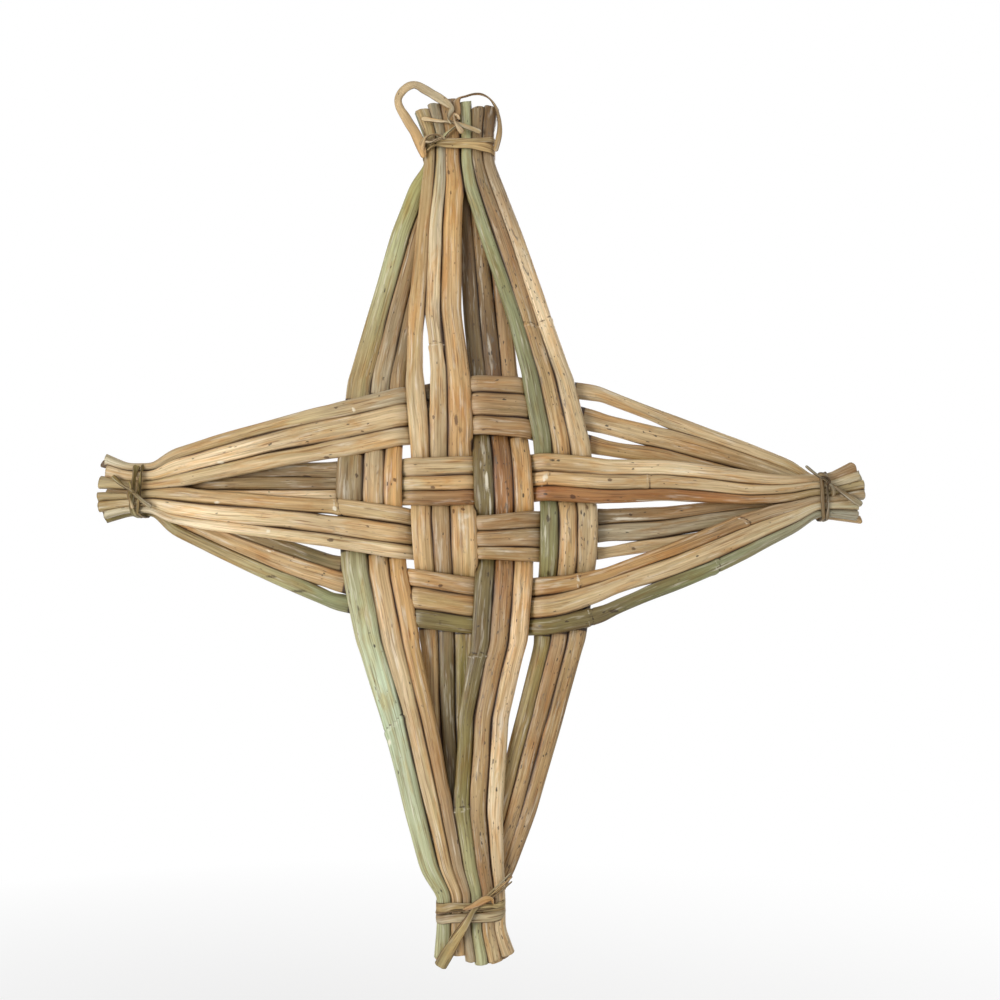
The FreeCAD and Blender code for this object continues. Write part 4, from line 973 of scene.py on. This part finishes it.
class BRIGID_OT_ties(bpy.types.Operator):
    """Wind and knot a rush tie round each arm"""
    bl_idname = "brigid.ties"
    bl_label = "Rush ties"

    def execute(self, context):
        # Thin split rush twisted when damp, so it dries dull, fibrous and wrinkled
        finish = rush_finish("Split rush, twisted, matt", streak_mm=0.5, fibre_mm=0.2, rough=0.6, bump_mm=0.2,
                             strength=1.5)
        sizes = context.scene.brigid_strips
        tints = context.scene.brigid_tints
        for seed, (tie, spec) in enumerate(TIES.items()):
            rng = np.random.default_rng(100 + seed)
            parts = [make_strip(rng, turn_rows(tie, rows), names, tints, sizes) for rows, *names in spec[4]]
            parts += [make_strip(rng, rows, names, tints, sizes) for rows, *names in STRIPS["tie_" + tie]]
            winding = joined("rush_" + tie, parts)
            winding.data.materials.append(finish)
            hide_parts("tie_" + tie)
            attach(winding, "root")
        return {"FINISHED"}


class BRIGID_OT_hanging_loop(bpy.types.Operator):
    """Bend and knot the strip that hangs the cross"""
    bl_idname = "brigid.hanging_loop"
    bl_label = "Hanging loop"

    def execute(self, context):
        # A broad green-gold strip of rush skin, smooth enough to glint where it folds
        finish = rush_finish("Rush skin strip, folded, satin", streak_mm=0.7, fibre_mm=0.25, rough=0.45,
                             bump_mm=0.14, strength=0.9)
        rng = np.random.default_rng(200)
        parts = [make_strip(rng, rows, names, context.scene.brigid_tints, context.scene.brigid_strips)
                 for rows, *names in STRIPS["hanging_loop"]]
        loop = joined("strip_hanging_loop", parts)
        loop.data.materials.append(finish)
        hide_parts("hanging_loop")
        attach(loop, "root")
        return {"FINISHED"}


class StageSettings(bpy.types.PropertyGroup):
    """Floor, lights and camera"""
    floor: FloatVectorProperty(name="Floor", description="Colour of the plain floor", subtype="COLOR", size=3,
                               min=0.0, max=1.0, default=linear("FAFAFA"))
    floor_drop: length("Floor drop", "Height of the lowest reed end above the floor", 60.0)
    key: FloatProperty(name="Key light", description="Power of the large light at the left", default=8.7,
                       min=0.0, unit="POWER")
    fill: FloatProperty(name="Fill light", description="Power of the light at the right", default=2.0,
                        min=0.0, unit="POWER")
    back: FloatProperty(name="Back light", description="Power of the large light behind", default=6.5,
                        min=0.0, unit="POWER")
    sky: FloatProperty(name="Sky", description="Strength of the even light from all round", default=0.35,
                       min=0.0)
    lens: FloatProperty(name="Lens", description="Focal length in mm on a 36 mm sensor", default=40.5,
                        min=1.0)
    distance: length("Camera distance", "From the camera to the face of the weave", 433.37)
    right: length("Camera right", "Of the middle of the weave", 8.16)
    below: length("Camera below", "The middle of the weave", 59.31)
    tilt: FloatProperty(name="Camera tilt", description="How far the camera looks up",
                        default=math.radians(8.2), subtype="ANGLE")
    shift: FloatProperty(name="Camera shift", description="Sideways shift that frames the cross",
                         default=0.011)


class BRIGID_OT_stage(bpy.types.Operator):
    """Set the pale floor, the soft lights and the camera"""
    bl_idname = "brigid.stage"
    bl_label = "Stage"

    def execute(self, context):
        settings = context.scene.brigid_stage
        middle = WEAVE_MIDDLE * MM
        self.floor(settings)
        self.sky(context, settings)
        self.light("key_light", settings.key, 0.45, middle + np.array((-0.75, -0.7, -0.05)), middle)
        self.light("fill_light", settings.fill, 0.7, middle + np.array((0.6, -0.7, 0.5)), middle)
        self.light("back_light", settings.back, 0.8, middle + np.array((0.5, 0.9, 0.4)), middle)
        camera = bpy.data.objects.new("camera", bpy.data.cameras.new("camera"))
        context.scene.collection.objects.link(camera)
        camera.location = (middle[0] + settings.right, -settings.distance, middle[2] - settings.below)
        camera.rotation_euler = (math.pi / 2.0 + settings.tilt, 0.0, 0.0)
        camera.data.lens = settings.lens
        camera.data.sensor_width = 36.0
        camera.data.shift_x = settings.shift
        context.scene.camera = camera
        context.scene.view_settings.view_transform = "Standard"
        return {"FINISHED"}

    def seen(self, tree):
        """1 for the rays that see the backdrop: the camera's, and those in a reflection or through glass."""
        path = add(tree, "ShaderNodeLightPath").outputs
        seen = add(tree, "ShaderNodeMath", {0: path["Is Camera Ray"], 1: path["Is Glossy Ray"]},
                   operation="MAXIMUM").outputs[0]
        return add(tree, "ShaderNodeMath", {0: seen, 1: path["Is Transmission Ray"]},
                   operation="MAXIMUM").outputs[0]

    def floor(self, settings):
        size = 6.0
        height = CAD_BOX[0].z - settings.floor_drop
        corners = [(-size, -size, height), (size, -size, height), (size, size, height), (-size, size, height)]
        mesh = bpy.data.meshes.new("floor")
        mesh.from_pydata(corners, [], [(0, 1, 2, 3)])
        material = bpy.data.materials.new("Matt white paper")
        material.use_nodes = True
        tree = material.node_tree
        tree.nodes.clear()
        # Paper as white as the sky where the camera looks past the object, and a soft shadow under it
        paper = add(tree, "ShaderNodeBsdfDiffuse", {"Color": (*settings.floor, 1.0)})
        glow = add(tree, "ShaderNodeEmission", {"Color": (1.0, 1.0, 1.0, 1.0), "Strength": 1.0})
        seen = self.seen(tree)
        place = add(tree, "ShaderNodeNewGeometry").outputs["Position"]
        away = add(tree, "ShaderNodeVectorMath", {0: place, 1: (0.0, 0.0, height)}, operation="DISTANCE")
        white = add(tree, "ShaderNodeMapRange",
                    {"Value": away.outputs["Value"], "From Min": 0.15, "From Max": 0.6, "To Min": 0.55,
                     "To Max": 1.0}).outputs["Result"]
        share = add(tree, "ShaderNodeMath", {0: seen, 1: white}, operation="MULTIPLY").outputs[0]
        mixed = add(tree, "ShaderNodeMixShader", {0: share, 1: paper.outputs[0], 2: glow.outputs[0]})
        add(tree, "ShaderNodeOutputMaterial", {"Surface": mixed.outputs[0]})
        mesh.materials.append(material)
        floor = bpy.data.objects.new("floor", mesh)
        bpy.context.scene.collection.objects.link(floor)

    def sky(self, context, settings):
        world = bpy.data.worlds.new("Pale studio")
        world.use_nodes = True
        tree = world.node_tree
        tree.nodes.clear()
        even = add(tree, "ShaderNodeBackground", {"Color": (1.0, 1.0, 1.0, 1.0), "Strength": settings.sky})
        white = add(tree, "ShaderNodeBackground", {"Color": (1.0, 1.0, 1.0, 1.0), "Strength": 1.0})
        mixed = add(tree, "ShaderNodeMixShader",
                    {0: self.seen(tree), 1: even.outputs[0], 2: white.outputs[0]})
        add(tree, "ShaderNodeOutputWorld", {"Surface": mixed.outputs[0]})
        context.scene.world = world

    def light(self, name, power, size, place, target):
        lamp = bpy.data.lights.new(name, "AREA")
        lamp.energy = power
        lamp.size = size
        thing = bpy.data.objects.new(name, lamp)
        bpy.context.scene.collection.objects.link(thing)
        thing.location = Vector(place)
        thing.rotation_euler = Vector(target - place).to_track_quat("-Z", "Y").to_euler()


class BRIGID_PT_panel(bpy.types.Panel):
    """Steps that dress the cross"""
    bl_idname = "BRIGID_PT_panel"
    bl_label = "Brigid Cross"
    bl_space_type = "VIEW_3D"
    bl_region_type = "UI"
    bl_category = "Brigid Cross"

    def draw(self, context):
        steps = (("brigid_tints", ()), ("brigid_reeds", ("brigid.reeds",)),
                 ("brigid_strips", ("brigid.ties", "brigid.hanging_loop")),
                 ("brigid_stage", ("brigid.stage",)))
        for group, operators in steps:
            box = self.layout.box()
            for operator in operators:
                box.operator(operator)
            settings = getattr(context.scene, group)
            for name in settings.__annotations__:
                box.prop(settings, name)


GROUPS = {"brigid_tints": RushTints, "brigid_reeds": ReedSizes, "brigid_strips": StripSizes,
          "brigid_stage": StageSettings}
CLASSES = (*GROUPS.values(), BRIGID_OT_reeds, BRIGID_OT_ties, BRIGID_OT_hanging_loop, BRIGID_OT_stage,
           BRIGID_PT_panel)


def register():
    for each in CLASSES:
        bpy.utils.register_class(each)
    for name, group in GROUPS.items():
        setattr(bpy.types.Scene, name, PointerProperty(type=group))


def unregister():
    for name in GROUPS:
        delattr(bpy.types.Scene, name)
    for each in reversed(CLASSES):
        bpy.utils.unregister_class(each)


def main():
    register()
    bpy.ops.brigid.reeds()
    bpy.ops.brigid.ties()
    bpy.ops.brigid.hanging_loop()
    bpy.ops.brigid.stage()


if __name__ == "__main__":
    main()
